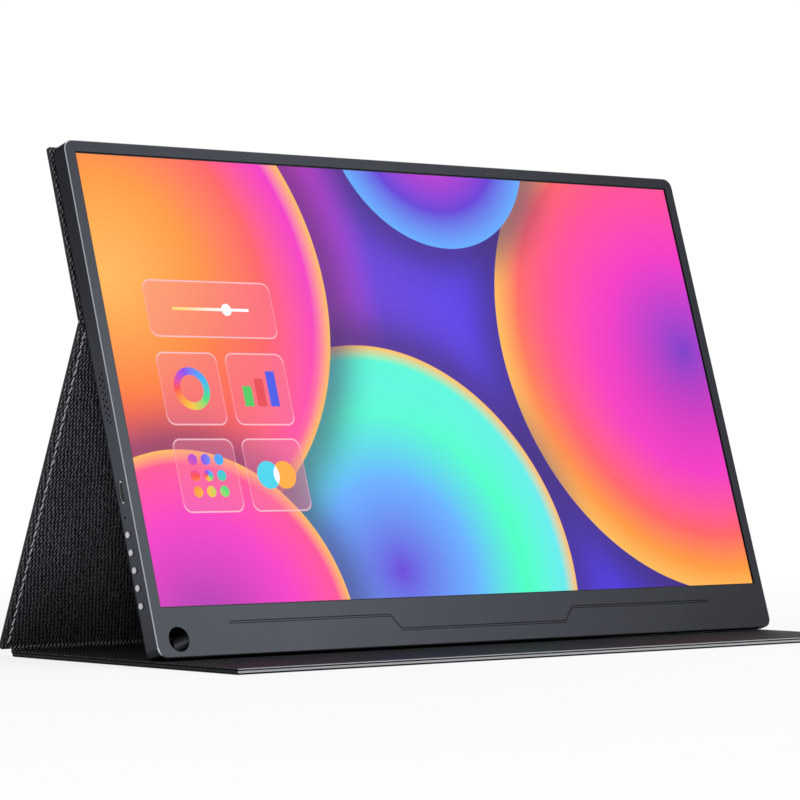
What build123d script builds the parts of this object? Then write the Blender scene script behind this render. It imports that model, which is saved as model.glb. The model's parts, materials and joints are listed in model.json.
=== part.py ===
from build123d import *
import os
from math import cos, radians, sin

# Portable monitor standing on its folding leather cover.
# Millimetres. +X is the viewer's right, +Y is behind the screen, +Z is up, and z = 0 is the table.

# Screen and monitor outline
SCREEN_W = 344.16
SCREEN_H = 193.59
BEZEL_SIDE = 5.6
BEZEL_TOP = 5.4
BEZEL_BOTTOM = 21.0
MONITOR_T = 10.4
CORNER_R = 4.5
LEAN = 17.3

# Rear shell
SHELL_WALL = 1.2
CUT_PAST_WALL = 0.6
CUT_PAST = 1.0
REAR_ROUND = 3.0
HEEL_FLAT = 3.8
HEEL_RISE = 2.2
RIB_T = 1.0
RIB_COUNT = 5
RIB_PITCH = 50.0
RIB_TOP = 122.0
RIB_BOTTOM = 32.0
SHELF_LEFT = -140.0
SHELF_RIGHT = 108.0

# Front frame
FRAME_EDGE = 1.0
FRAME_PLATE = 0.5
FRAME_CHAMFER = 0.35
SCREEN_MARGIN = 0.5
GROOVE_W = 0.9
GROOVE_DEPTH = 0.15
GROOVE_HIGH = 13.5
GROOVE_LOW = 7.2
GROOVE_REACH = 139.0
GROOVE_DIP = 47.5
GROOVE_SLOPE = 5.5
TAPE_T = 0.1

# Prop hole through the lower left corner
PROP_R = 5.15
PROP_FROM_LEFT = 11.4
PROP_FROM_BOTTOM = 7.45
PROP_WALL = 1.4

# Display module
MODULE_SIDE = 3.2
MODULE_BELOW = 5.6
MODULE_ABOVE = 2.6
TRAY_WALL = 0.8
TRAY_FLOOR = 0.3
GUIDE_T = 0.8
DIFFUSER_T = 0.4
CELL_T = 0.9
BACKLIGHT_H = 3.5
LAYER_GAP = 0.1
SOURCE_W = 160.0
SOURCE_H = 9.0
SOURCE_T = 0.8
SOURCE_X = -20.0
SOURCE_GAP = 0.5

# Cover
COVER_T = 2.2
BASE_T = 2.55
SKIN_T = 0.6
COVER_EDGE = 1.6
EDGE_ROUND = 0.25
FRONT_CORNER = 1.2
REAR_CORNER = 4.0
LEG_CORNER = 0.8
FOLD_CORNER = 0.5
UPPER_CORNER = 1.0
UPPER_PROUD = 0.7
BASE_DEPTH = 162.0
LEG_LEAN = 22.6
FOLD_HEIGHT = 144.6
FOLD_GAP = 0.4
FOLD_BACK = 3.0
BASE_FOLD_BACK = 7.6
FOLD_INSET = 7.0
REST_GAP = 0.4
BOARD_GAP = 0.1
MAGNET_L = 20.0
MAGNET_W = 6.0
MAGNET_GAP = 0.05
MAGNET_COUNT = 6
MAGNET_PITCH = 56.0
BASE_MAGNET_FROM_FRONT = 9.0
STEEL_L = 320.0
STEEL_W = 30.0
STEEL_T = 0.5

# Side openings: grilles, sockets, light and buttons, measured up the side from the bottom edge
HOLE_R = 0.5
HOLE_PITCH = 2.95
HOLE_ROWS = 8
HOLE_TOP = 119.8
HOLE_FRONT_DEPTH = 3.4
HOLE_REAR_DEPTH = 5.1
MESH_T = 0.2
MESH_MARGIN = 0.8
SPEAKER_W = 17.0
SPEAKER_MARGIN = 3.0
SPEAKER_R = 5.0
SPEAKER_FROM_WALL = 2.0
CONE_RIM = 3.0
CONE_DEPTH = 0.8
USB_W = 8.94
USB_H = 3.16
USB_WALL = 0.25
USB_L = 7.0
TONGUE_W = 6.69
TONGUE_T = 0.7
TONGUE_BACK = 0.9
SOCKET_DEPTH = 4.9
SOCKET_RECESS = 0.4
SOCKET_GAP = 0.15
USB_LEFT_AT = 70.2
USB_UPPER_AT = 70.2
USB_LOWER_AT = 55.0
HDMI_AT = 37.5
HDMI_W = 11.2
HDMI_H = 3.1
HDMI_L = 7.5
HDMI_TONGUE_W = 7.6
HDMI_TAPER = 1.2
JACK_AT = 22.0
JACK_R = 1.75
JACK_BODY_W = 6.0
JACK_BODY_H = 3.6
JACK_L = 12.0
JACK_DEPTH = 5.3
JACK_COLLAR = 0.4
JACK_FROM_WALL = 0.4
LIGHT_AT = 59.6
LIGHT_DEPTH = 5.4
LIGHT_R = 0.5
LIGHT_FLANGE_R = 0.9
LIGHT_L = 2.2
LIGHT_RECESS = 0.1
BUTTON_COUNT = 5
BUTTON_TOP_AT = 52.5
BUTTON_PITCH = 7.4
BUTTON_R = 1.4
BUTTON_PROUD = 0.55
BUTTON_GAP = 0.08
BUTTON_DEPTH = 5.4
BUTTON_TRAVEL = 0.4
BUTTON_FLANGE_R = 1.9
BUTTON_FLANGE_T = 0.5
BUTTON_STEM_R = 0.8
BUTTON_STEM_L = 1.2
BUTTON_SEAT = 0.05
BUTTON_ROUND = 0.25
SWITCH_W = 3.4
SWITCH_L = 3.4
SWITCH_H = 3.0

# Boards and fasteners
PCB_T = 0.8
PCB_GAP = 0.02
MAIN_W = 56.0
MAIN_LOW = 9.0
MAIN_HIGH = 79.0
BUTTON_PCB_W = 13.0
BUTTON_PCB_LOW = 17.0
BUTTON_PCB_HIGH = 77.0
PCB_FROM_WALL = 1.6
NOTCH_GAP = 0.1
CHIP_T = 1.2
CHIPS = [(22.0, 62.0, 14.0, 14.0), (22.0, 26.0, 10.0, 8.0), (38.0, 40.0, 5.0, 5.0)]
SCREW_R = 1.0
SCREW_HEAD_R = 1.8
SCREW_HEAD_T = 0.8
SCREW_GAP = 0.03
SCREW_BITE = 1.1
SCREW_END_GAP = 0.1
BOSS_R = 2.4
SCREW_INSET = 3.2
SCREW_FROM_SOCKETS = 12.0
RIBBON_W = 12.0
RIBBON_T = 0.3
RIBBON_AT = 62.0
RIBBON_LIFT = 0.1
RIBBON_ARC = 0.6
RIBBON_LAP = 3.0
RIBBON_STEP = 1.5
RIBBON_CHANNEL = 1.0
RIBBON_ROOF = 0.4
BRACKET_PITCH = 75.0
BRACKET_AT = 84.0
INSERT_R = 3.0
INSERT_BORE_R = 1.65
INSERT_L = 4.0
INSERT_DEPTH = 3.4
INSERT_GAP = 0.03
INSERT_WALL = 1.4
INSERT_CAP = 0.4

# Sizes that follow from the ones above
MONITOR_W = SCREEN_W + 2 * BEZEL_SIDE
MONITOR_H = SCREEN_H + BEZEL_TOP + BEZEL_BOTTOM
SCREEN_MID = BEZEL_BOTTOM + SCREEN_H / 2
MODULE_FRONT = FRAME_PLATE + TAPE_T
MODULE_BACK = MODULE_FRONT + CELL_T + DIFFUSER_T + GUIDE_T + TRAY_FLOOR
MODULE_W = SCREEN_W + 2 * MODULE_SIDE
MODULE_LOW = BEZEL_BOTTOM - MODULE_BELOW
MODULE_HIGH = BEZEL_BOTTOM + SCREEN_H + MODULE_ABOVE
MODULE_H = MODULE_HIGH - MODULE_LOW
MODULE_MID = (MODULE_HIGH + MODULE_LOW) / 2
FLOOR_DEPTH = MONITOR_T - SHELL_WALL
PCB_DEPTH = SOCKET_DEPTH + USB_H / 2 + PCB_GAP
PCB_BACK = PCB_DEPTH + PCB_T
INNER_X = MONITOR_W / 2 - SHELL_WALL
PROP_X = PROP_FROM_LEFT - MONITOR_W / 2
BUTTON_AT = [BUTTON_TOP_AT - i * BUTTON_PITCH for i in range(BUTTON_COUNT)]
HOLE_LOW = HOLE_TOP - (HOLE_ROWS - 1) * HOLE_PITCH
HOLE_MID = (HOLE_TOP + HOLE_LOW) / 2
BEAD_R = BASE_T / 2
HINGE_R = COVER_T / 2
INSERT_PLACES = [
    (x * BRACKET_PITCH / 2, BRACKET_AT + y * BRACKET_PITCH / 2) for x in (-1, 1) for y in (-1, 1)
]

# The side view of the stand: the two fold axes and the monitor's bottom front edge, as (y, z)
lean = radians(LEAN)
leg_lean = radians(LEG_LEAN)
heel_drop = HEEL_FLAT * sin(lean)
monitor_z = BASE_T + REST_GAP + heel_drop
lower_y = BASE_DEPTH / 2 - BEAD_R
lower_z = BASE_T / 2
upper_z = monitor_z + FOLD_HEIGHT * cos(lean) - (MONITOR_T + HINGE_R) * sin(lean)
leg_length = (upper_z - lower_z) / cos(leg_lean)
upper_y = lower_y - leg_length * sin(leg_lean)
monitor_y = upper_y - FOLD_HEIGHT * sin(lean) - (MONITOR_T + HINGE_R) * cos(lean)

up = Vector(0, sin(lean), cos(lean))
towards = Vector(0, -cos(lean), sin(lean))
screen_plane = Plane(origin=(0, monitor_y, monitor_z), x_dir=(1, 0, 0), z_dir=towards)
depth_axis = Axis((0, monitor_y, monitor_z), towards)
profile_plane = Plane(origin=(0, monitor_y, monitor_z), x_dir=-towards, z_dir=(1, 0, 0))
leg_plane = Plane(
    origin=(0, lower_y, lower_z),
    x_dir=(1, 0, 0),
    z_dir=(0, -cos(leg_lean), -sin(leg_lean)),
)


def at_depth(depth):
    """Plane parallel to the screen, so far behind the frame's face, with y up the monitor."""
    return screen_plane.offset(-depth)


def side_plane(side, height, depth, inset=0.0):
    """Plane on the left (-1) or right (1) side face, with x up the side and z outwards."""
    origin = screen_plane.from_local_coords(
        Vector(side * (MONITOR_W / 2 - inset), height, -depth)
    )
    return Plane(origin=origin, x_dir=up, z_dir=(side, 0, 0))


def across(y, z):
    """Plane whose normal is a fold axis: the YZ plane, with its origin at one fold."""
    return Plane(origin=(0, y, z), x_dir=(0, 1, 0), z_dir=(1, 0, 0))


def screw_places(left, right, low, high):
    """The four screw places of a board, near its corners."""
    return [
        (x, y)
        for x in (left + SCREW_INSET, right - SCREW_INSET)
        for y in (low + SCREW_INSET, high - SCREW_INSET)
    ]


main_right = INNER_X - PCB_FROM_WALL
main_left = main_right - MAIN_W
button_left = -INNER_X + PCB_FROM_WALL
button_right = button_left + BUTTON_PCB_W
main_screws = screw_places(main_left, main_right - SCREW_FROM_SOCKETS, MAIN_LOW, MAIN_HIGH)
button_screws = [
    (button_right - SCREW_INSET, BUTTON_PCB_LOW + SCREW_INSET),
    (button_right - SCREW_INSET, BUTTON_PCB_HIGH - SCREW_INSET),
]
board_screw_places = main_screws + button_screws
hole_rows = [(HOLE_LOW + i * HOLE_PITCH, HOLE_FRONT_DEPTH) for i in range(HOLE_ROWS)]
hole_rows += [
    (HOLE_LOW + (i + 0.5) * HOLE_PITCH, HOLE_REAR_DEPTH) for i in range(HOLE_ROWS - 1)
]
usb_places = {
    "usb_c_left": (-1, USB_LEFT_AT),
    "usb_c_right_upper": (1, USB_UPPER_AT),
    "usb_c_right_lower": (1, USB_LOWER_AT),
}
pieces = {}


# Room below the bevelled heel, taken off the shell and off the prop hole's wall
heel_slope = HEEL_RISE / (MONITOR_T - HEEL_FLAT)
with BuildPart() as below_heel:
    with BuildSketch(profile_plane):
        with BuildLine():
            Polyline(
                (HEEL_FLAT, 0),
                (MONITOR_T + CUT_PAST, HEEL_RISE + CUT_PAST * heel_slope),
                (MONITOR_T + CUT_PAST, -CUT_PAST),
                (HEEL_FLAT, -CUT_PAST),
                close=True,
            )
        make_face()
    extrude(amount=MONITOR_W, both=True)

# Rear shell: a thin tray with a rounded back edge and a bevelled heel that clears the base
with BuildPart() as rear_shell:
    with BuildSketch(at_depth(FRAME_EDGE)):
        with Locations((0, MONITOR_H / 2)):
            RectangleRounded(MONITOR_W, MONITOR_H, CORNER_R)
    extrude(amount=-(MONITOR_T - FRAME_EDGE))
    back_face = rear_shell.faces().sort_by(depth_axis)[0]
    fillet(back_face.edges(), REAR_ROUND)
    add(below_heel.part, mode=Mode.SUBTRACT)
    front_face = rear_shell.faces().sort_by(depth_axis)[-1]
    offset(amount=-SHELL_WALL, openings=front_face)
    # Ribs and the shelf that carry the display module
    with BuildSketch(at_depth(MODULE_BACK)):
        with Locations((0, (RIB_TOP + RIB_BOTTOM) / 2)):
            with GridLocations(RIB_PITCH, 1, RIB_COUNT, 1):
                Rectangle(RIB_T, RIB_TOP - RIB_BOTTOM)
        with Locations(((SHELF_LEFT + SHELF_RIGHT) / 2, MODULE_LOW + RIB_T / 2)):
            Rectangle(SHELF_RIGHT - SHELF_LEFT, RIB_T)
        with Locations((0, MODULE_HIGH - RIB_T / 2)):
            Rectangle(MODULE_W - 2 * CORNER_R, RIB_T)
    extrude(amount=-(FLOOR_DEPTH - MODULE_BACK))
    # Channel for the ribbon between the two boards
    with BuildSketch(at_depth(FLOOR_DEPTH)):
        with Locations((0, RIBBON_AT)):
            Rectangle(RIB_COUNT * RIB_PITCH, RIBBON_W + 2 * RIBBON_CHANNEL)
    extrude(amount=RIBBON_LIFT + RIBBON_T + RIBBON_ROOF, mode=Mode.SUBTRACT)
    # Bosses for the boards, the threaded inserts and the prop hole
    with BuildSketch(at_depth(PCB_BACK)):
        with Locations(board_screw_places):
            Circle(BOSS_R)
    extrude(amount=-(FLOOR_DEPTH - PCB_BACK))
    with BuildSketch(at_depth(MONITOR_T - INSERT_L - INSERT_CAP)):
        with Locations(INSERT_PLACES):
            Circle(INSERT_R + INSERT_WALL)
    extrude(amount=-(INSERT_L + INSERT_CAP - SHELL_WALL))
    with BuildSketch(at_depth(FRAME_PLATE)):
        with Locations((PROP_X, PROP_FROM_BOTTOM)):
            Circle(PROP_R + PROP_WALL)
    extrude(amount=-(FLOOR_DEPTH - FRAME_PLATE))
    add(below_heel.part, mode=Mode.SUBTRACT)
    with BuildSketch(at_depth(FRAME_PLATE)):
        with Locations((PROP_X, PROP_FROM_BOTTOM)):
            Circle(PROP_R)
    extrude(amount=-MONITOR_T, mode=Mode.SUBTRACT)
    with BuildSketch(at_depth(MONITOR_T)):
        with Locations(INSERT_PLACES):
            Circle(INSERT_R + INSERT_GAP)
    extrude(amount=INSERT_L, mode=Mode.SUBTRACT)
    with BuildSketch(at_depth(PCB_BACK)):
        with Locations(board_screw_places):
            Circle(SCREW_R + SCREW_GAP)
    extrude(amount=-SCREW_BITE, mode=Mode.SUBTRACT)
    # Side openings, both sides
    for side in (-1, 1):
        with BuildSketch(side_plane(side, 0, 0)):
            with Locations([(y, -side * z) for y, z in hole_rows]):
                Circle(HOLE_R)
        extrude(amount=-SHELL_WALL - CUT_PAST_WALL, mode=Mode.SUBTRACT)
    for side, height in usb_places.values():
        with BuildSketch(side_plane(side, height, SOCKET_DEPTH)):
            SlotOverall(USB_W + 2 * SOCKET_GAP, USB_H + 2 * SOCKET_GAP)
        extrude(amount=-SHELL_WALL - CUT_PAST_WALL, mode=Mode.SUBTRACT)
    with BuildSketch(side_plane(1, HDMI_AT, SOCKET_DEPTH)):
        Rectangle(HDMI_W + 2 * SOCKET_GAP, HDMI_H + 2 * SOCKET_GAP)
    extrude(amount=-SHELL_WALL - CUT_PAST_WALL, mode=Mode.SUBTRACT)
    with BuildSketch(side_plane(1, JACK_AT, JACK_DEPTH)):
        Circle(JACK_R + JACK_COLLAR + SOCKET_GAP)
    extrude(amount=-SHELL_WALL - CUT_PAST_WALL, mode=Mode.SUBTRACT)
    with BuildSketch(side_plane(-1, LIGHT_AT, LIGHT_DEPTH)):
        Circle(LIGHT_R + BUTTON_GAP)
    extrude(amount=-SHELL_WALL - CUT_PAST_WALL, mode=Mode.SUBTRACT)
    with BuildSketch(side_plane(-1, 0, BUTTON_DEPTH)):
        with Locations([(y, 0) for y in BUTTON_AT]):
            Circle(BUTTON_R + BUTTON_GAP)
    extrude(amount=-SHELL_WALL - CUT_PAST_WALL, mode=Mode.SUBTRACT)
pieces["rear_shell"] = rear_shell

# Front frame: one plate with a bright chamfered edge, a window for the screen and a line groove
with BuildPart() as front_bezel:
    with BuildSketch(screen_plane):
        with Locations((0, MONITOR_H / 2)):
            RectangleRounded(MONITOR_W, MONITOR_H, CORNER_R)
    extrude(amount=-FRAME_EDGE)
    chamfer(front_bezel.faces().sort_by(depth_axis)[-1].edges(), FRAME_CHAMFER)
    with BuildSketch(at_depth(FRAME_EDGE)):
        with Locations((0, MONITOR_H / 2)):
            RectangleRounded(
                MONITOR_W - 2 * SHELL_WALL, MONITOR_H - 2 * SHELL_WALL, CORNER_R - SHELL_WALL
            )
    extrude(amount=FRAME_EDGE - FRAME_PLATE, mode=Mode.SUBTRACT)
    with BuildSketch(screen_plane):
        with Locations((0, SCREEN_MID)):
            Rectangle(SCREEN_W + 2 * SCREEN_MARGIN, SCREEN_H + 2 * SCREEN_MARGIN)
        with Locations((PROP_X, PROP_FROM_BOTTOM)):
            Circle(PROP_R)
    extrude(amount=-FRAME_EDGE, mode=Mode.SUBTRACT)
    with BuildSketch(screen_plane):
        with BuildLine():
            half_groove = Polyline(
                (0, GROOVE_LOW),
                (GROOVE_DIP, GROOVE_LOW),
                (GROOVE_DIP + GROOVE_SLOPE, GROOVE_HIGH),
                (GROOVE_REACH, GROOVE_HIGH),
            )
            mirror(half_groove, about=Plane.YZ)
        trace(line_width=GROOVE_W)
    extrude(amount=-GROOVE_DEPTH, mode=Mode.SUBTRACT)
pieces["front_bezel"] = front_bezel

# Adhesive tape between the frame and the display module
with BuildPart() as display_tape:
    with BuildSketch(at_depth(FRAME_PLATE)):
        with Locations((0, MODULE_MID)):
            Rectangle(MODULE_W - 2 * LAYER_GAP, MODULE_H - 2 * LAYER_GAP)
        with Locations((0, SCREEN_MID)):
            Rectangle(
                SCREEN_W + 2 * SCREEN_MARGIN + TRAY_WALL,
                SCREEN_H + 2 * SCREEN_MARGIN + TRAY_WALL,
                mode=Mode.SUBTRACT,
            )
    extrude(amount=-TAPE_T)
pieces["display_tape"] = display_tape

# Display module: a metal tray holding the light bar, light guide, diffuser and glass cell
inner_w = MODULE_W - 2 * TRAY_WALL
inner_h = MODULE_H - 2 * TRAY_WALL
guide_h = inner_h - BACKLIGHT_H
with BuildPart() as lcd_tray:
    with BuildSketch(at_depth(MODULE_BACK)):
        with Locations((0, MODULE_MID)):
            Rectangle(MODULE_W, MODULE_H)
    extrude(amount=MODULE_BACK - MODULE_FRONT)
    with BuildSketch(at_depth(MODULE_BACK - TRAY_FLOOR)):
        with Locations((0, MODULE_MID)):
            Rectangle(inner_w, inner_h)
    extrude(amount=MODULE_BACK, mode=Mode.SUBTRACT)
pieces["lcd_tray"] = lcd_tray

with BuildPart() as light_guide:
    with BuildSketch(at_depth(MODULE_BACK - TRAY_FLOOR)):
        with Locations((0, MODULE_MID + BACKLIGHT_H / 2)):
            Rectangle(inner_w - 2 * LAYER_GAP, guide_h - 2 * LAYER_GAP)
    extrude(amount=GUIDE_T)
pieces["light_guide"] = light_guide

with BuildPart() as backlight_bar:
    with BuildSketch(at_depth(MODULE_BACK - TRAY_FLOOR)):
        with Locations((0, MODULE_MID - guide_h / 2)):
            Rectangle(inner_w - 2 * LAYER_GAP, BACKLIGHT_H - 2 * LAYER_GAP)
    extrude(amount=GUIDE_T)
pieces["backlight_bar"] = backlight_bar

with BuildPart() as diffuser_sheet:
    with BuildSketch(at_depth(MODULE_FRONT + CELL_T + DIFFUSER_T)):
        with Locations((0, MODULE_MID)):
            Rectangle(inner_w - 2 * LAYER_GAP, inner_h - 2 * LAYER_GAP)
    extrude(amount=DIFFUSER_T)
pieces["diffuser_sheet"] = diffuser_sheet

with BuildPart() as lcd_cell:
    with BuildSketch(at_depth(MODULE_FRONT + CELL_T)):
        with Locations((0, MODULE_MID)):
            Rectangle(inner_w - 2 * LAYER_GAP, inner_h - 2 * LAYER_GAP)
    extrude(amount=CELL_T)
pieces["lcd_cell"] = lcd_cell

source_low = MODULE_LOW + RIB_T + SOURCE_GAP
with BuildPart() as source_board:
    with BuildSketch(at_depth(MODULE_BACK)):
        with Locations((SOURCE_X, source_low + SOURCE_H / 2)):
            Rectangle(SOURCE_W, SOURCE_H)
    extrude(amount=-SOURCE_T)
pieces["source_board"] = source_board

# Main board on the right with its chips, and the button board on the left
with BuildPart() as main_board:
    with BuildSketch(at_depth(PCB_DEPTH)):
        with Locations(((main_left + main_right) / 2, (MAIN_LOW + MAIN_HIGH) / 2)):
            Rectangle(MAIN_W, MAIN_HIGH - MAIN_LOW)
        with Locations((INNER_X - JACK_L / 2, JACK_AT)):
            Rectangle(JACK_L + 2 * NOTCH_GAP, JACK_BODY_W + 2 * NOTCH_GAP, mode=Mode.SUBTRACT)
        with Locations(main_screws):
            Circle(SCREW_R + NOTCH_GAP, mode=Mode.SUBTRACT)
    extrude(amount=-PCB_T)
    with BuildSketch(at_depth(PCB_DEPTH)):
        for chip_x, chip_y, chip_w, chip_h in CHIPS:
            with Locations((main_left + chip_x, chip_y)):
                Rectangle(chip_w, chip_h)
    extrude(amount=CHIP_T)
pieces["main_board"] = main_board

with BuildPart() as button_board:
    with BuildSketch(at_depth(PCB_DEPTH)):
        with Locations(((button_left + button_right) / 2, (BUTTON_PCB_LOW + BUTTON_PCB_HIGH) / 2)):
            Rectangle(BUTTON_PCB_W, BUTTON_PCB_HIGH - BUTTON_PCB_LOW)
        with Locations(button_screws):
            Circle(SCREW_R + NOTCH_GAP, mode=Mode.SUBTRACT)
    extrude(amount=-PCB_T)
pieces["button_board"] = button_board

with BuildPart() as board_screws:
    with BuildSketch(at_depth(PCB_DEPTH)):
        with Locations(board_screw_places):
            Circle(SCREW_HEAD_R)
    extrude(amount=SCREW_HEAD_T)
    with BuildSketch(at_depth(PCB_DEPTH)):
        with Locations(board_screw_places):
            Circle(SCREW_R)
    extrude(amount=-(PCB_T + SCREW_BITE - SCREW_END_GAP))
pieces["board_screws"] = board_screws

# Flat ribbons, bent in the plane that looks up the monitor and as wide as the ribbon along it
ribbon_floor = FLOOR_DEPTH - RIBBON_LIFT - RIBBON_T / 2
ribbon_top = PCB_DEPTH - PCB_GAP - RIBBON_T / 2
source_back = MODULE_BACK + SOURCE_T + PCB_GAP + RIBBON_T / 2


def ribbon_plane(height):
    """Plane square to the monitor's height, with x to the right and y towards the viewer."""
    origin = screen_plane.from_local_coords(Vector(0, height, 0))
    return Plane(origin=origin, x_dir=(1, 0, 0), z_dir=-up)


with BuildPart() as board_ribbon:
    with BuildSketch(ribbon_plane(RIBBON_AT + RIBBON_W / 2)):
        with BuildLine():
            FilletPolyline(
                (button_right - RIBBON_LAP, -ribbon_top),
                (button_right + RIBBON_STEP, -ribbon_top),
                (button_right + 2 * RIBBON_STEP, -ribbon_floor),
                (main_left - 2 * RIBBON_STEP, -ribbon_floor),
                (main_left - RIBBON_STEP, -ribbon_top),
                (main_left + RIBBON_LAP, -ribbon_top),
                radius=RIBBON_ARC,
            )
        trace(line_width=RIBBON_T)
    extrude(amount=RIBBON_W)
pieces["board_ribbon"] = board_ribbon

source_right = SOURCE_X + SOURCE_W / 2
with BuildPart() as display_ribbon:
    with BuildSketch(ribbon_plane(source_low + SOURCE_H)):
        with BuildLine():
            FilletPolyline(
                (source_right - 4 * RIBBON_LAP, -source_back),
                (source_right + RIBBON_LAP, -source_back),
                (main_left - RIBBON_LAP, -ribbon_top),
                (main_left + 2 * RIBBON_LAP, -ribbon_top),
                radius=RIBBON_ARC,
            )
        trace(line_width=RIBBON_T)
    extrude(amount=SOURCE_H)
pieces["display_ribbon"] = display_ribbon

# USB-C sockets: a drawn steel shell, closed behind, around a plastic tongue
for name, (side, height) in usb_places.items():
    with BuildPart() as usb_shell:
        with BuildSketch(side_plane(side, height, SOCKET_DEPTH, SOCKET_RECESS)):
            SlotOverall(USB_W, USB_H)
        extrude(amount=-USB_L)
        with BuildSketch(side_plane(side, height, SOCKET_DEPTH, SOCKET_RECESS)):
            SlotOverall(USB_W - 2 * USB_WALL, USB_H - 2 * USB_WALL)
        extrude(amount=-(USB_L - USB_WALL), mode=Mode.SUBTRACT)
    pieces[name] = usb_shell

with BuildPart() as socket_tongues:
    for side, height in usb_places.values():
        with BuildSketch(side_plane(side, height, SOCKET_DEPTH, SOCKET_RECESS + TONGUE_BACK)):
            Rectangle(TONGUE_W, TONGUE_T)
        extrude(amount=-(USB_L - TONGUE_BACK - USB_WALL))
    with BuildSketch(side_plane(1, HDMI_AT, SOCKET_DEPTH, SOCKET_RECESS + TONGUE_BACK)):
        Rectangle(HDMI_TONGUE_W, TONGUE_T)
    extrude(amount=-(HDMI_L - TONGUE_BACK - USB_WALL))
pieces["socket_tongues"] = socket_tongues


def hdmi_corners(inset):
    """Corners of the mini socket's outline: a flat box with its two rear corners cut off."""
    half_w = HDMI_W / 2 - inset
    half_h = HDMI_H / 2 - inset
    return [
        (-half_w, half_h),
        (half_w, half_h),
        (half_w, HDMI_TAPER - half_h),
        (half_w - HDMI_TAPER, -half_h),
        (HDMI_TAPER - half_w, -half_h),
        (-half_w, HDMI_TAPER - half_h),
    ]


with BuildPart() as mini_hdmi:
    with BuildSketch(side_plane(1, HDMI_AT, SOCKET_DEPTH, SOCKET_RECESS)):
        with BuildLine():
            Polyline(*hdmi_corners(0), close=True)
        make_face()
    extrude(amount=-HDMI_L)
    with BuildSketch(side_plane(1, HDMI_AT, SOCKET_DEPTH, SOCKET_RECESS)):
        with BuildLine():
            Polyline(*hdmi_corners(USB_WALL), close=True)
        make_face()
    extrude(amount=-(HDMI_L - USB_WALL), mode=Mode.SUBTRACT)
pieces["mini_hdmi"] = mini_hdmi

# Headphone socket: a moulded body dropped into a notch of the board, with a round collar
with BuildPart() as audio_jack:
    with BuildSketch(side_plane(1, JACK_AT, JACK_DEPTH, SHELL_WALL + JACK_FROM_WALL)):
        Rectangle(JACK_BODY_W, JACK_BODY_H)
    extrude(amount=-JACK_L + SHELL_WALL)
    with BuildSketch(side_plane(1, JACK_AT, JACK_DEPTH, SOCKET_RECESS)):
        Circle(JACK_R + JACK_COLLAR)
    extrude(amount=-(SHELL_WALL + JACK_FROM_WALL))
    with BuildSketch(side_plane(1, JACK_AT, JACK_DEPTH, SOCKET_RECESS)):
        Circle(JACK_R)
    extrude(amount=-JACK_L + SHELL_WALL, mode=Mode.SUBTRACT)
pieces["audio_jack"] = audio_jack

# Speakers with their cloth behind the grille holes
speaker_h = HOLE_TOP - HOLE_LOW + 2 * SPEAKER_MARGIN
mesh_front = FRAME_EDGE + LAYER_GAP
mesh_back = HOLE_REAR_DEPTH + HOLE_R + MESH_MARGIN
for name, side in (("left", -1), ("right", 1)):
    with BuildPart() as speaker:
        with BuildSketch(at_depth(MODULE_BACK + LAYER_GAP)):
            with Locations((side * (INNER_X - SPEAKER_FROM_WALL - SPEAKER_W / 2), HOLE_MID)):
                RectangleRounded(SPEAKER_W, speaker_h, SPEAKER_R)
        extrude(amount=-(FLOOR_DEPTH - MODULE_BACK - 2 * LAYER_GAP))
        with BuildSketch(at_depth(MODULE_BACK + LAYER_GAP)):
            with Locations((side * (INNER_X - SPEAKER_FROM_WALL - SPEAKER_W / 2), HOLE_MID)):
                RectangleRounded(SPEAKER_W - CONE_RIM, speaker_h - CONE_RIM, SPEAKER_R - CONE_RIM / 2)
        extrude(amount=-CONE_DEPTH, mode=Mode.SUBTRACT)
    pieces[f"speaker_{name}"] = speaker
    with BuildPart() as mesh:
        with BuildSketch(side_plane(side, HOLE_MID, (mesh_front + mesh_back) / 2, SHELL_WALL)):
            Rectangle(HOLE_TOP - HOLE_LOW + 2 * MESH_MARGIN, mesh_back - mesh_front)
        extrude(amount=-MESH_T)
    pieces[f"speaker_cloth_{name}"] = mesh

# Status light pipe and the five push buttons with their switches
with BuildPart() as status_light:
    with BuildSketch(side_plane(-1, LIGHT_AT, LIGHT_DEPTH, LIGHT_RECESS)):
        Circle(LIGHT_R)
    extrude(amount=-LIGHT_L)
    with BuildSketch(side_plane(-1, LIGHT_AT, LIGHT_DEPTH, SHELL_WALL)):
        Circle(LIGHT_FLANGE_R)
    extrude(amount=-BUTTON_FLANGE_T)
pieces["status_light"] = status_light

for number, height in enumerate(BUTTON_AT, start=1):
    with BuildPart() as button:
        with BuildSketch(side_plane(-1, height, BUTTON_DEPTH, -BUTTON_PROUD)):
            Circle(BUTTON_R)
        extrude(amount=-(BUTTON_PROUD + SHELL_WALL + BUTTON_SEAT))
        fillet(button.edges().sort_by(Axis.X)[0], BUTTON_ROUND)
        with BuildSketch(side_plane(-1, height, BUTTON_DEPTH, SHELL_WALL + BUTTON_SEAT)):
            Circle(BUTTON_FLANGE_R)
        extrude(amount=-BUTTON_FLANGE_T)
        with BuildSketch(side_plane(-1, height, BUTTON_DEPTH, SHELL_WALL + BUTTON_SEAT)):
            Circle(BUTTON_STEM_R)
        extrude(amount=-(BUTTON_FLANGE_T + BUTTON_STEM_L))
    pieces[f"button_{number}"] = button

switch_depth = PCB_DEPTH - SWITCH_H / 2
switch_inset = SHELL_WALL + BUTTON_SEAT + BUTTON_FLANGE_T + BUTTON_STEM_L + BUTTON_TRAVEL + LAYER_GAP
with BuildPart() as tact_switches:
    with BuildSketch(side_plane(-1, 0, switch_depth, switch_inset)):
        with Locations([(height, 0) for height in BUTTON_AT]):
            Rectangle(SWITCH_W, SWITCH_H)
    extrude(amount=-SWITCH_L)
pieces["tact_switches"] = tact_switches

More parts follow.
